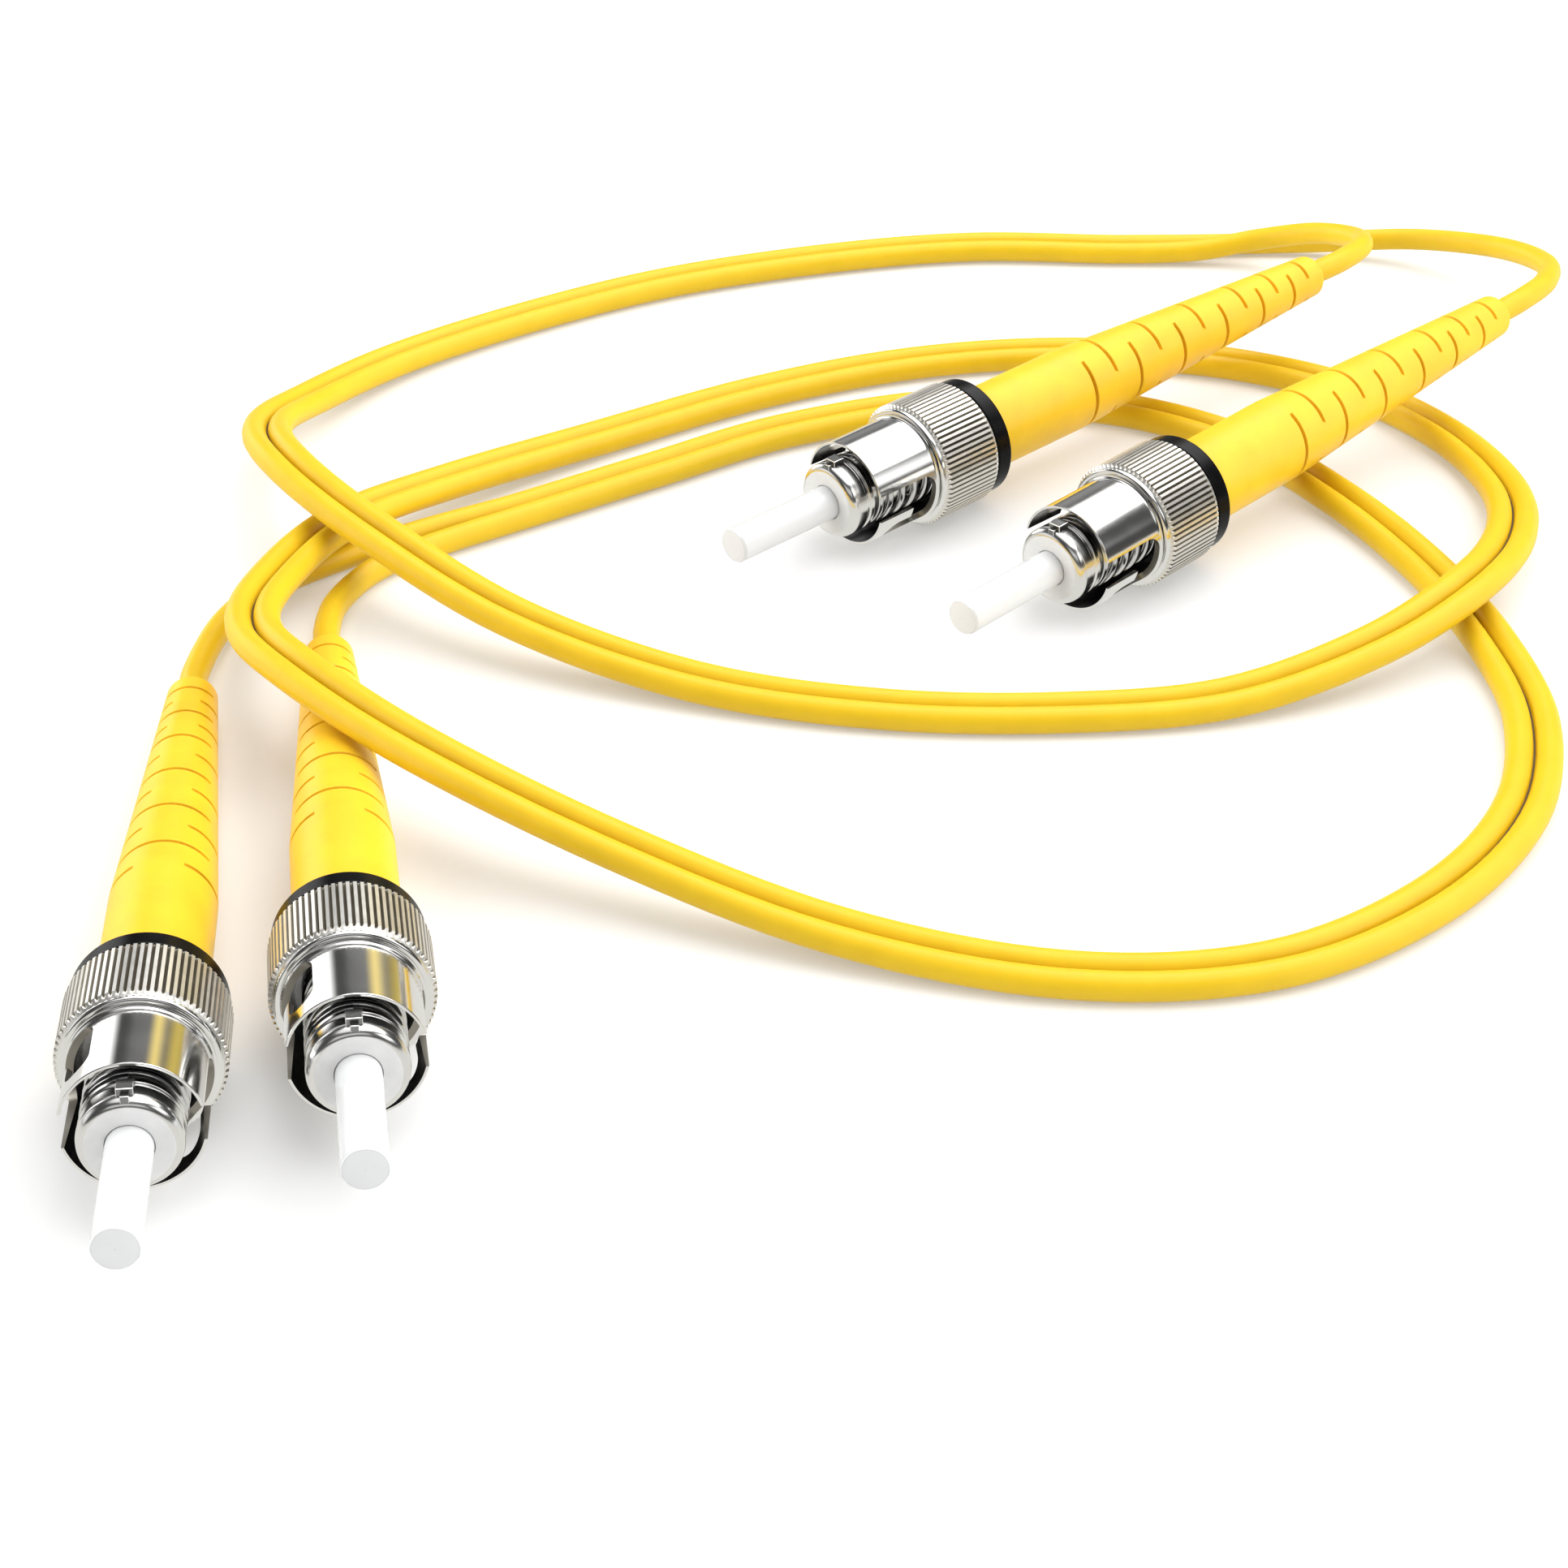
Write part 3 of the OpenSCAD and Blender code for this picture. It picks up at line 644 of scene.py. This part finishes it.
def plug_body():
    shape = bmesh.new()
    lathe(shape, body_profile(), 160)
    for face in shape.faces:
        middle = face.calc_center_median() / MM
        in_front = middle.x > -FACE_DEPTH and middle.yz.length > FERRULE_R
        face.material_index = FRONT_FACE if in_front else TURNED_SIDE
    root = RING_R - RING_ROUND
    for step in KEY_STEPS:
        low = (step["back"], -step["half"], root)
        bevelled_block(shape, low, (step["front"], step["half"], step["top"]), step["bevel"])
    return to_object("plug_body", shape)


turned = finish(
    "turned_nickel", (0.86, 0.855, 0.84), 0.2, metallic=1.0, tint=0.02, bump=0.002,
)
satin = finish(
    "satin_nickel", (0.72, 0.72, 0.715), 0.34, metallic=0.25, grain=1800, tint=0.03, bump=0.01,
)
# Painted shade: the key's finish is darker than the nickel it is turned with.
key_painted_shade = finish("key_painted_shade", (0.22, 0.22, 0.215), 0.25, metallic=1.0)
body_finishes = (turned, satin, key_painted_shade)
fit_to_plugs(plug_body(), "plug_barrel", "cord_set", "nickel_plate", ["plug_body"], *body_finishes)

# %% [markdown]
# ## Spring
# A coil of bright wire pushes the nut back. Both its ends are closed, which means
# that the last turn lies against the one before it. It is swept as a mesh and not as
# a curve, because the spring has to shorten when the nut slides forward.

# %% Set out the coil
WIRE_R = 0.25
COIL_R = 2.5
COIL_FRONT = -2.47
COIL_BACK = -8.33
COIL_TURNS = 6.2
CLOSED_TURNS = 1.1
CLOSED_PITCH = 0.53
OPEN_TURNS = COIL_TURNS - 2 * CLOSED_TURNS
OPEN_PITCH = (COIL_FRONT - COIL_BACK - 2 * CLOSED_TURNS * CLOSED_PITCH) / OPEN_TURNS


def coil_station(turn):
    """Closed turns at both ends and even open turns between them."""
    front = min(turn, CLOSED_TURNS) * CLOSED_PITCH
    back = max(0, turn - COIL_TURNS + CLOSED_TURNS) * CLOSED_PITCH
    open_part = min(max(turn - CLOSED_TURNS, 0), OPEN_TURNS) * OPEN_PITCH
    return COIL_FRONT - front - open_part - back


print("gap between open turns, mm:", round(OPEN_PITCH - 2 * WIRE_R, 2))

# %% [markdown]
# A ring of twelve points, square to the wire, moves along the coil and leaves a skin of
# faces behind it. Each plug's coil then gets a mesh of its own.

# %% Wind the spring
COIL_STEPS = 48
WIRE_SIDES = 12


def spring():
    shape = bmesh.new()
    path = []
    for k in range(int(COIL_TURNS * COIL_STEPS) + 1):
        turn = k / COIL_STEPS
        angle = 2 * pi * turn
        path.append(Vector((coil_station(turn), -COIL_R * sin(angle), COIL_R * cos(angle))) * MM)
    rings = []
    for place, way in zip(path, headings(path)):
        out = Vector((0, place.y, place.z)).normalized()
        side = way.cross(out)
        rings.append([
            shape.verts.new(place + WIRE_R * MM * (cos(a) * out + sin(a) * side))
            for a in (2 * pi * k / WIRE_SIDES for k in range(WIRE_SIDES))
        ])
    for ring, after in zip(rings, rings[1:]):
        for k in range(WIRE_SIDES):
            shape.faces.new((ring[k - 1], ring[k], after[k], after[k - 1]))
    shape.faces.new(rings[0])
    shape.faces.new(rings[-1][::-1])
    return to_object("spring", shape, smooth_angle=60)


coils = fit_to_plugs(spring(), "spring_coil", "cord_set", "spring_wire", ["spring"], steel)
for plug, coil in coils.items():
    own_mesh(coil)

# %% [markdown]
# ## Coupling nut
# The nut is what a hand turns: a knurled grip behind a smooth barrel with two J
# slots, which catch the lugs of the socket. A lathe profile gives the body. Its bore
# opens towards the rim, so the wall looks thin there, as a fine tube's does.

# %% Set out the nut
NUT_FRONT = -1.8
NUT_BACK = -12.84
SHOULDER = -9.16
BARREL_R = 3.82
BARREL_RING = -4.6
FRONT_ROUND = 0.06
BORE_R = 3.4
REAR_BORE_R = 2.25
LEAD_IN = 0.26
LEAD_IN_BACK = -6.0
NECK_FRONT = -7.09
NECK_ROUND = 0.16
NECK_LINE = [(-7.28, 3.97), (-7.3, 3.87), (-7.36, 3.87)]
COLLAR_FRONT = -7.37
COLLAR_ROUND = 0.2
COLLAR_R = 4.29
print("length of the nut, mm:", round(NUT_FRONT - NUT_BACK, 2))

# %% [markdown]
# The knurl is a ring of straight teeth for the fingers. It is part of the same sweep:
# four points of a ring make a tooth, and one of the four drops into a V groove. Both
# ends of the grip are chamfered, and there the grooves run out by themselves.

# %% Turn and knurl the nut
KNURL_R = 4.54
KNURL_ROOT = 4.34
KNURL_FRONT = -7.69
KNURL_CHAMFER = 0.25
KNURL_RING = -10.2
KNURL_TEETH = 72
TOOTH_POINTS = 4
CHAMFER_STEPS = 6


def knurled(station, radius, k):
    """V grooves between flat teeth: of the points to a tooth, one is in the groove."""
    if radius <= KNURL_ROOT or station > KNURL_FRONT:
        return radius
    return min(radius, KNURL_ROOT if k % TOOTH_POINTS == 0 else KNURL_R)


def chamfer(front, back, first, last):
    return [
        (front + (back - front) * k / CHAMFER_STEPS, first + (last - first) * k / CHAMFER_STEPS)
        for k in range(CHAMFER_STEPS + 1)
    ]


def nut_blank():
    shape = bmesh.new()
    neck = [
        (NECK_FRONT - NECK_ROUND * sin(a), BARREL_R + NECK_ROUND - NECK_ROUND * cos(a))
        for a in quarter_turn(5)
    ]
    profile = [
        (SHOULDER, BORE_R), (LEAD_IN_BACK, BORE_R), (NUT_FRONT, BORE_R + LEAD_IN),
        *nose(NUT_FRONT, BARREL_R, FRONT_ROUND, 4), (BARREL_RING, BARREL_R),
        *neck, *NECK_LINE, *nose(COLLAR_FRONT, COLLAR_R, COLLAR_ROUND, 6),
        *chamfer(KNURL_FRONT, KNURL_FRONT - KNURL_CHAMFER, COLLAR_R, KNURL_R),
        (KNURL_RING, KNURL_R), *chamfer(NUT_BACK + KNURL_CHAMFER, NUT_BACK, KNURL_R, COLLAR_R),
        (NUT_BACK, REAR_BORE_R), (SHOULDER, REAR_BORE_R),
    ]
    lathe(shape, profile, TOOTH_POINTS * KNURL_TEETH, knurled)
    return to_object("nut_blank", shape, smooth_angle=25)


nut = nut_blank()
print("points of the blank:", len(nut.data.vertices))

# %% [markdown]
# Each J slot is an open entry channel, a short leg across, and a pocket where the lug
# comes to rest. The slots are cut with booleans, as a mill would cut them. The tools
# that cut them are as wide as the slot and reach from inside the bore to the open air.

# %% Set out the J slots
SLOT_W = 2.0
SLOT_BACK = -7.05
SLOT_LEG = 2.1
SLOT_START = 90
SLOT_TURN = 43.5
POCKET_REACH = 2.05
LEG_FRONT = SLOT_BACK + SLOT_LEG
CHANNEL_INNER_R = 2.9
LEG_INNER_R = 3.0
CUT_OUTER_R = 4.7
PAST_RIM = 3
ARC_STEPS = 24


def radial(angle, radius, x, across=0.0):
    """A point in plug axes at an angle from the key, a distance out and a step across."""
    a = radians(angle)
    return Vector((x, -radius * sin(a) - across * cos(a), radius * cos(a) - across * sin(a))) * MM


print("length of the entry channel, mm:", round(NUT_FRONT - SLOT_BACK, 2))

# %% [markdown]
# The entry channel and the pocket are straight, so their tool is a flat outline with
# two half round ends, drawn once inside the wall and once outside it, and closed round.

# %% Helper for the straight tools
def channel(angle, front):
    """A straight slot with both ends round."""
    r = SLOT_W / 2
    half_turn = [pi * k / ARC_STEPS for k in range(ARC_STEPS + 1)]
    outline = [(SLOT_BACK + r - r * sin(a), r * cos(a)) for a in half_turn]
    outline += [(front - r + r * sin(a), -r * cos(a)) for a in half_turn]
    shape = bmesh.new()
    low, high = (
        [shape.verts.new(radial(angle, radius, x, y)) for x, y in outline]
        for radius in (CHANNEL_INNER_R, CUT_OUTER_R)
    )
    shape.faces.new(low[::-1])
    shape.faces.new(high)
    for k in range(len(low)):
        shape.faces.new((low[k - 1], low[k], high[k], high[k - 1]))
    return to_object("channel", shape)


print("width of the slots, mm:", SLOT_W)

# %% [markdown]
# The leg runs round the barrel, so its tool is a sector of a thick ring. Its inner and
# outer faces are strips of small quads, which follow the curve of the wall.

# %% Helper for the tool that runs round
def cross_leg(angle):
    """A sector of a thick ring between the entry channel and the pocket."""
    sweep = [angle - SLOT_TURN * k / ARC_STEPS for k in range(ARC_STEPS + 1)]
    edge = [(a, SLOT_BACK) for a in sweep] + [(a, LEG_FRONT) for a in sweep[::-1]]
    shape = bmesh.new()
    inner = [shape.verts.new(radial(a, LEG_INNER_R, x)) for a, x in edge]
    outer = [shape.verts.new(radial(a, CUT_OUTER_R, x)) for a, x in edge]
    n = len(sweep)
    for k in range(n - 1):
        a, b, c, d = k, k + 1, 2 * n - 2 - k, 2 * n - 1 - k
        shape.faces.new((inner[a], inner[b], inner[c], inner[d]))
        shape.faces.new((outer[a], outer[b], outer[c], outer[d]))
        shape.faces.new((inner[a], inner[b], outer[b], outer[a]))
        shape.faces.new((inner[c], inner[d], outer[d], outer[c]))
    shape.faces.new((inner[0], inner[-1], outer[-1], outer[0]))
    shape.faces.new((inner[n - 1], inner[n], outer[n], outer[n - 1]))
    return to_object("cross_leg", shape)


print("turn from entry to pocket, degrees:", SLOT_TURN)

# %% [markdown]
# A boolean modifier shows its result but keeps the old mesh below it. The result is
# taken as a new mesh after each cut, so the next cut starts from a clean piece.

# %% Cut the two J slots
def cut(piece, tool):
    boolean = piece.modifiers.new("cut", "BOOLEAN")
    boolean.operation = "DIFFERENCE"
    boolean.solver = "EXACT"
    boolean.object = tool
    graph = bpy.context.evaluated_depsgraph_get()
    mesh = bpy.data.meshes.new_from_object(piece.evaluated_get(graph))
    piece.modifiers.clear()
    piece.data = mesh
    bpy.data.objects.remove(tool)


for entry in (SLOT_START, SLOT_START + 180):
    cut(nut, channel(entry, NUT_FRONT + PAST_RIM))
    cut(nut, channel(entry - SLOT_TURN, LEG_FRONT + POCKET_REACH))
    cut(nut, cross_leg(entry))
print("points with the slots cut:", len(nut.data.vertices))

# %% [markdown]
# No edge on a real nut is knife sharp. A tiny bevel on the edges of the slots catches
# the light as a thin bright line. Only the edges between the rim and the back of the
# slots are taken, so the teeth of the knurl stay crisp.

# %% Break the sharp edges of the slots
EDGE_BREAK = 0.03
EDGE_MARGIN = 0.02
SAME_POINT = 0.002
SHARP = 50
STILL_SMOOTH = 28


def break_edges(piece, front, back, size):
    shape = bmesh.new()
    shape.from_mesh(piece.data)
    bmesh.ops.remove_doubles(shape, verts=shape.verts, dist=SAME_POINT * MM)
    sharp = [
        edge for edge in shape.edges
        if len(edge.link_faces) == 2 and edge.calc_face_angle(0) > radians(SHARP)
        and all(back < vert.co.x / MM < front for vert in edge.verts)
    ]
    bmesh.ops.bevel(
        shape, geom=sharp, offset=size * MM, segments=2, profile=0.6, affect="EDGES",
        clamp_overlap=True,
    )
    shape.to_mesh(piece.data)
    shape.free()
    for face in piece.data.polygons:
        face.use_smooth = True
    piece.data.set_sharp_from_angle(angle=radians(STILL_SMOOTH))
    print("edges broken:", len(sharp))


break_edges(nut, NUT_FRONT - FRONT_ROUND, SLOT_BACK - EDGE_MARGIN, EDGE_BREAK)

# %% [markdown]
# The bore is painted dark as shade, because it only sees the inside of the plug. The grip
# is duller than the barrel, and its grooves are painted darker than its teeth as shade.
# The walls of the slots wear the same painted shade. A face finds its finish by where it
# is and by how far it faces outward, which the dot product of its normal with the radius tells.

# %% Finish the faces of the nut
BARREL, BORE, GRIP, SHADED_HOLLOW = range(4)
SIDEWAYS = 0.5
TOOTH_TOP = 0.8
LENGTHWISE = 0.1
RIM_BAND = 0.1
HAIR = 0.01


def nut_face(middle, normal):
    """The finish of a face of the nut from its middle, in mm, and its normal."""
    outward = normal.yz.dot(middle.yz.normalized())
    if middle.x > SHOULDER - HAIR and outward < -SIDEWAYS:
        return BORE
    if middle.x < KNURL_FRONT and middle.yz.length > COLLAR_R:
        return SHADED_HOLLOW if abs(normal.x) < LENGTHWISE and outward < TOOTH_TOP else GRIP
    if SLOT_BACK - EDGE_MARGIN < middle.x < NUT_FRONT - RIM_BAND and abs(outward) < SIDEWAYS:
        return SHADED_HOLLOW
    return BARREL


for face in nut.data.polygons:
    face.material_index = nut_face(face.center / MM, face.normal)
# Painted shade: the bore's finish is dark.
bore = finish("bore_painted_shade", (0.1, 0.1, 0.1), 0.25, metallic=1.0, grain=1500)
grip = finish(
    "knurled_grip", (0.84, 0.82, 0.77), 0.34, metallic=0.9, grain=1200, tint=0.03, bump=0.005,
)
# Painted shade: the knurl's grooves and the walls of the slots get this darker finish.
groove = finish("grip_groove_painted_shade", (0.34, 0.32, 0.28), 0.36, metallic=1.0, grain=1200, bump=0.005)
nut_finishes = (nickel, bore, grip, groove)
fit_to_plugs(nut, "nut_shell", "{}_nut", "nickel_plate", ["coupling_nut"], *nut_finishes)

# %% [markdown]
# ## Retaining ring
# A glossy black ring closes the plug behind the nut. Its four corners are rounded well,
# because it is a moulded piece.

# %% Turn the retaining ring
CLIP_R = 4.33
CLIP_FRONT = -12.9
CLIP_BACK = -14.2
CLIP_ROUND = 0.16
STEM_GAP = 0.02


def retaining_ring():
    shape = bmesh.new()
    hole = STEM_R + STEM_GAP
    corners = [(CLIP_BACK, hole), (CLIP_FRONT, hole), (CLIP_FRONT, CLIP_R), (CLIP_BACK, CLIP_R)]
    lathe(shape, soften(corners, CLIP_ROUND, 4), 160)
    return to_object("retaining_ring", shape)


fit_to_plugs(retaining_ring(), "black_band", "cord_set", "black_ring", ["retaining_ring"], black)

# %% [markdown]
# ## Boot
# The boot is soft rubber, and its flex slots let it bend in a smooth curve. Pairs of
# slots alternate between the sides and the top and bottom, and two ribs bridge each
# pair. Cutting twelve pairs with booleans would be slow, so the whole boot is one
# sweep: at a slot the radius drops to the slot's flat floor.

# %% Set out the boot and its flex slots
BOOT_R = 3.1
BOOT_END_R = 1.625
TAPER_FRONT = -24.6
END_ROUND = 0.4
CORD_BORE_R = 1.0
BOOT_SEGMENTS = 144
FLEX_W = 0.29
FLEX_RIB = 28
FLEX_SLOTS = 12
FLEX_START = 10.3
FLEX_PITCH = 2.57
FLEX_PITCH_REAR = 1.93
FLEX_FRONT = 8
FLEX_LIP = 0.07
FLOOR_SKIN = 0.05
LEAST_HEIGHT = 0.01
flex_at = [
    CLIP_BACK - FLEX_START - FLEX_PITCH * min(i, FLEX_FRONT - 1)
    - FLEX_PITCH_REAR * max(0, i - FLEX_FRONT + 1) for i in range(FLEX_SLOTS)
]


def boot_radius(station):
    share = max(0, (TAPER_FRONT - station) / (TAPER_FRONT - BOOT_END))
    return BOOT_R - (BOOT_R - BOOT_END_R) * share


def slot_floor(i, radius, k):
    """Radius of the floor of slot i: flat on both sides of its two ribs, and full over them."""
    turn = 360 * k / BOOT_SEGMENTS + (0 if i % 2 == 0 else 90)
    height = max(abs(sin(radians(turn))), LEAST_HEIGHT)
    flat = max(radius * sin(radians(FLEX_RIB)) / height, CORD_BORE_R + FLOOR_SKIN)
    return min(radius, flat)


print("first and last flex slot:", round(flex_at[0], 1), round(flex_at[-1], 1))

# %% [markdown]
# The profile of the boot has eight points at each slot: a soft lip, the edge and the
# wall, down to the floor and up again. Each is a step from the slot's middle and a
# depth, or TO_FLOOR for all the way down. A table keeps these depths, and the lathe
# asks for the radius at every station and angle. The inside of the boot has rooms for
# the stem, the crimp and the cord.

# %% Draw the profile of the boot
TO_FLOOR = 1
SLOT_EDGE = (
    (FLEX_W / 2 + FLEX_LIP, 0), (FLEX_W / 2 + FLEX_LIP / 3, 0.02), (FLEX_W / 2, 0.07),
    (FLEX_W / 2 - 0.03, TO_FLOOR),
)
SLOT_STATIONS = (*SLOT_EDGE, *[(-step, depth) for step, depth in SLOT_EDGE[::-1]])
MOUTH_LIP = ((0, 0.15), (0.04, 0.05), (0.15, 0))
BODY_RINGS = (-17, -20, -23)
ROOMS = [
    (BOOT_END, CORD_BORE_R), (-22.7, CORD_BORE_R), (-22.7, 1.3), (-20.6, 1.3), (-19.6, 2.4),
    (-14.9, 2.4), (-14.9, STEM_R + STEM_GAP), (CLIP_BACK, STEM_R + STEM_GAP),
]


def boot_profile():
    """The outline of the boot, and which slot and depth belong to its stations."""
    depths = {}
    outside = [(CLIP_BACK - back, BOOT_R - drop) for back, drop in MOUTH_LIP]
    outside += [(station, BOOT_R) for station in BODY_RINGS]
    for i, station in enumerate(flex_at):
        for step, depth in SLOT_STATIONS:
            place = round(station + step, 5)
            depths[place] = (i, depth)
            outside.append((place, boot_radius(station + step)))
    rest = BOOT_END + END_ROUND
    shoulder = boot_radius(rest) - END_ROUND
    outside += [(rest - END_ROUND * sin(a), shoulder + END_ROUND * cos(a)) for a in quarter_turn(6)]
    return outside + ROOMS, depths


print("points in the profile:", len(boot_profile()[0]))

# %% [markdown]
# Soft rubber lets light through its thin walls, so a deep slot in it glows a little
# and never turns black. The faces deep in a slot get painted light: a finish a little lighter than
# the boot's.

# %% Mould the boot
SHADE_REACH = 2
SHADE_DEPTH = 0.12


def in_slot(middle):
    """Whether a face with this middle, in mm, lies deep in a flex slot."""
    depth = boot_radius(middle.x) - middle.yz.length
    behind_nose = BOOT_END + END_ROUND < middle.x < flex_at[0] + SHADE_REACH
    return behind_nose and depth > SHADE_DEPTH and middle.yz.length > CORD_BORE_R + HAIR


def boot():
    profile, depths = boot_profile()

    def with_slots(station, radius, k):
        i, depth = depths.get(station, (0, 0))
        if depth == 0:
            return radius
        floor = slot_floor(i, radius, k)
        return floor if depth == TO_FLOOR else max(floor, radius - depth)

    shape = bmesh.new()
    lathe(shape, profile, BOOT_SEGMENTS, with_slots)
    for face in shape.faces:
        face.material_index = int(in_slot(face.calc_center_median() / MM))
    return to_object("boot", shape, smooth_angle=40)


# Painted light: the faces deep in the slots get a finish a little lighter than the boot's.
slot_light_paint = finish("boot_slot_painted_light", (0.86, 0.54, 0.03), 0.6, grain=400)
fit_to_plugs(boot(), "boot_sleeve", "cord_set", "boot_rubber", ["boot"], boot_rubber, slot_light_paint)

# %% [markdown]
# ## Table and light
# The cord lies on a white table under broad soft lights. The table has a faint glow of
# its own, painted light that keeps the shadows on it light.
# In mirror reflections the table is painted as a plain white card, an emission that stands in for it
# there.

# %% Lay the table
TABLE_SIZE = 6
# Painted light: the table glows faintly of its own.
TABLE_PAINTED_GLOW = 0.26
# Painted reflection: mirrors see the table as this plain card.
TABLE_PAINTED_REFLECTION = (0.8, 0.79, 0.75, 1)


def table_finish():
    """A matt white with a faint painted glow, which mirrors see as a painted plain card."""
    material = finish(
        "white_table", (0.62, 0.62, 0.615), 0.7, grain=30, tint=0.004, bump=0.0,
        Emission_Color=(1, 1, 1, 1), Emission_Strength=TABLE_PAINTED_GLOW,
    )
    nodes = material.node_tree.nodes
    links = material.node_tree.links
    path = nodes.new("ShaderNodeLightPath")
    card = nodes.new("ShaderNodeEmission")
    card.inputs["Color"].default_value = TABLE_PAINTED_REFLECTION
    mix = nodes.new("ShaderNodeMixShader")
    links.new(path.outputs["Is Glossy Ray"], mix.inputs["Fac"])
    links.new(nodes["Principled BSDF"].outputs["BSDF"], mix.inputs[1])
    links.new(card.outputs["Emission"], mix.inputs[2])
    links.new(mix.outputs["Shader"], nodes["Material Output"].inputs["Surface"])
    return material


bpy.ops.mesh.primitive_plane_add(size=TABLE_SIZE, location=(0, 0, 0))
table = bpy.context.object
table.name = "table"
wear(table, table_finish())
print("table, m:", TABLE_SIZE)

# %% [markdown]
# One large lamp hangs above the cord, a little behind it and to the right, and faces a
# point close to the middle of the table. A large lamp gives shadows with soft edges.

# %% Hang the lamp
LAMP_PLACE = Vector((0.18, 0.15, 0.68))
LAMP_TARGET = Vector((0, 0.01, 0))
LAMP_SIZE = (0.9, 0.7)
LAMP_POWER = 5.2
light = bpy.data.lights.new("overhead", "AREA")
light.shape = "RECTANGLE"
light.size, light.size_y = LAMP_SIZE
light.energy = LAMP_POWER
lamp = bpy.data.objects.new("overhead", light)
lamp.location = LAMP_PLACE
lamp.rotation_euler = (LAMP_TARGET - LAMP_PLACE).to_track_quat("-Z", "Y").to_euler()
bpy.context.scene.collection.objects.link(lamp)
print("lamp, W:", LAMP_POWER)

# %% [markdown]
# The room is a function of direction alone. Diffuse light comes from all of it, and
# more of it from the two sides, while mirror reflections alone see painted reflections:
# soft edged cards on dark walls. Each card is a box of directions: the span of x, of y
# and of z, then its brightness and its tint.

# %% Set out the room
EVEN_LIGHT = 0.2
SIDE_LIGHT = 3.8
SIDE_START = 0.15
SIDE_FULL = 0.7
WALLS = (0.06, 0.06, 0.06)
CAMERA_WHITE = (0.97, 0.97, 0.97, 1)
CARD_EDGE = 0.07
WHITE = (1, 1, 1)
# Painted reflection: the gold cards are seen only by mirror rays and put yellow streaks on the plated
# metal.
PAINTED_GOLD = (1, 0.74, 0.1)
CARDS = [
    ((-0.25, 1.2), (0.3, 1.2), (0.57, 1.2), 2.4, WHITE),
    ((-0.85, -0.4), (0.5, 1.0), (-0.4, 0.47), 1.6, WHITE),
    ((-0.2, 0.3), (0.9, 1.2), (0.1, 0.5), 0.22, WHITE),
    ((0.6, 1.2), (-0.6, -0.07), (0.3, 0.65), 1.4, WHITE),
    ((0.12, 0.24), (0.6, 1.2), (0.1, 0.5), 0.85, PAINTED_GOLD),
    ((0.33, 0.44), (0.6, 1.2), (-0.1, 0.45), 0.7, PAINTED_GOLD),
    ((-1.2, -0.9), (-0.6, 0.6), (0.05, 0.6), 0.9, WHITE),
    ((-0.4, 0.4), (-1.2, -0.5), (0.3, 0.6), 0.6, WHITE),
    ((-1.2, 1.2), (-1.2, 0.3), (0.85, 1.2), 0.9, WHITE),
]
print("room cards:", len(CARDS))

# %% [markdown]
# The world's nodes work out the cards by arithmetic. A smooth step up at one edge of a
# span less the step up at its other edge is 1 inside the span and 0 outside, and the
# product over x, y and z is 1 inside the box.

# %% Paint the room
def room():
    world = bpy.data.worlds.new("room")
    world.use_nodes = True
    nodes = world.node_tree.nodes
    links = world.node_tree.links
    place = nodes.new("ShaderNodeTexCoord")
    axes = nodes.new("ShaderNodeSeparateXYZ")
    links.new(place.outputs["Generated"], axes.inputs[0])

    def feed(node, *values):
        for socket, value in zip(node.inputs, values):
            if isinstance(value, bpy.types.NodeSocket):
                links.new(value, socket)
            else:
                socket.default_value = value
        return node.outputs[0]

    def arithmetic(operation, first, second):
        node = nodes.new("ShaderNodeMath")
        node.operation = operation
        return feed(node, first, second)

    def smooth_step(value, start, full, low, high):
        node = nodes.new("ShaderNodeMapRange")
        node.interpolation_type = "SMOOTHSTEP"
        return feed(node, value, start, full, low, high)

    def rise(axis, edge):
        return smooth_step(axes.outputs[axis], edge - CARD_EDGE, edge + CARD_EDGE, 0, 1)

    seen = WALLS
    for *spans, strength, tint in CARDS:
        share = strength
        for axis, (low, high) in zip("XYZ", spans):
            inside = arithmetic("SUBTRACT", rise(axis, low), rise(axis, high))
            share = arithmetic("MULTIPLY", share, inside)
        add = nodes.new("ShaderNodeVectorMath")
        add.operation = "MULTIPLY_ADD"
        seen = feed(add, tint, share, seen)
    sideways = arithmetic("POWER", axes.outputs["X"], 2)
    soft = smooth_step(sideways, SIDE_START, SIDE_FULL, EVEN_LIGHT, SIDE_LIGHT)
    path = nodes.new("ShaderNodeLightPath")
    for ray, color in (("Is Diffuse Ray", soft), ("Is Camera Ray", CAMERA_WHITE)):
        choose = nodes.new("ShaderNodeMixRGB")
        seen = feed(choose, path.outputs[ray], seen, color)
    links.new(seen, nodes["Background"].inputs["Color"])
    return world


bpy.context.scene.world = room()
bpy.context.scene.view_settings.view_transform = "Standard"
print("nodes in the room:", len(bpy.context.scene.world.node_tree.nodes))
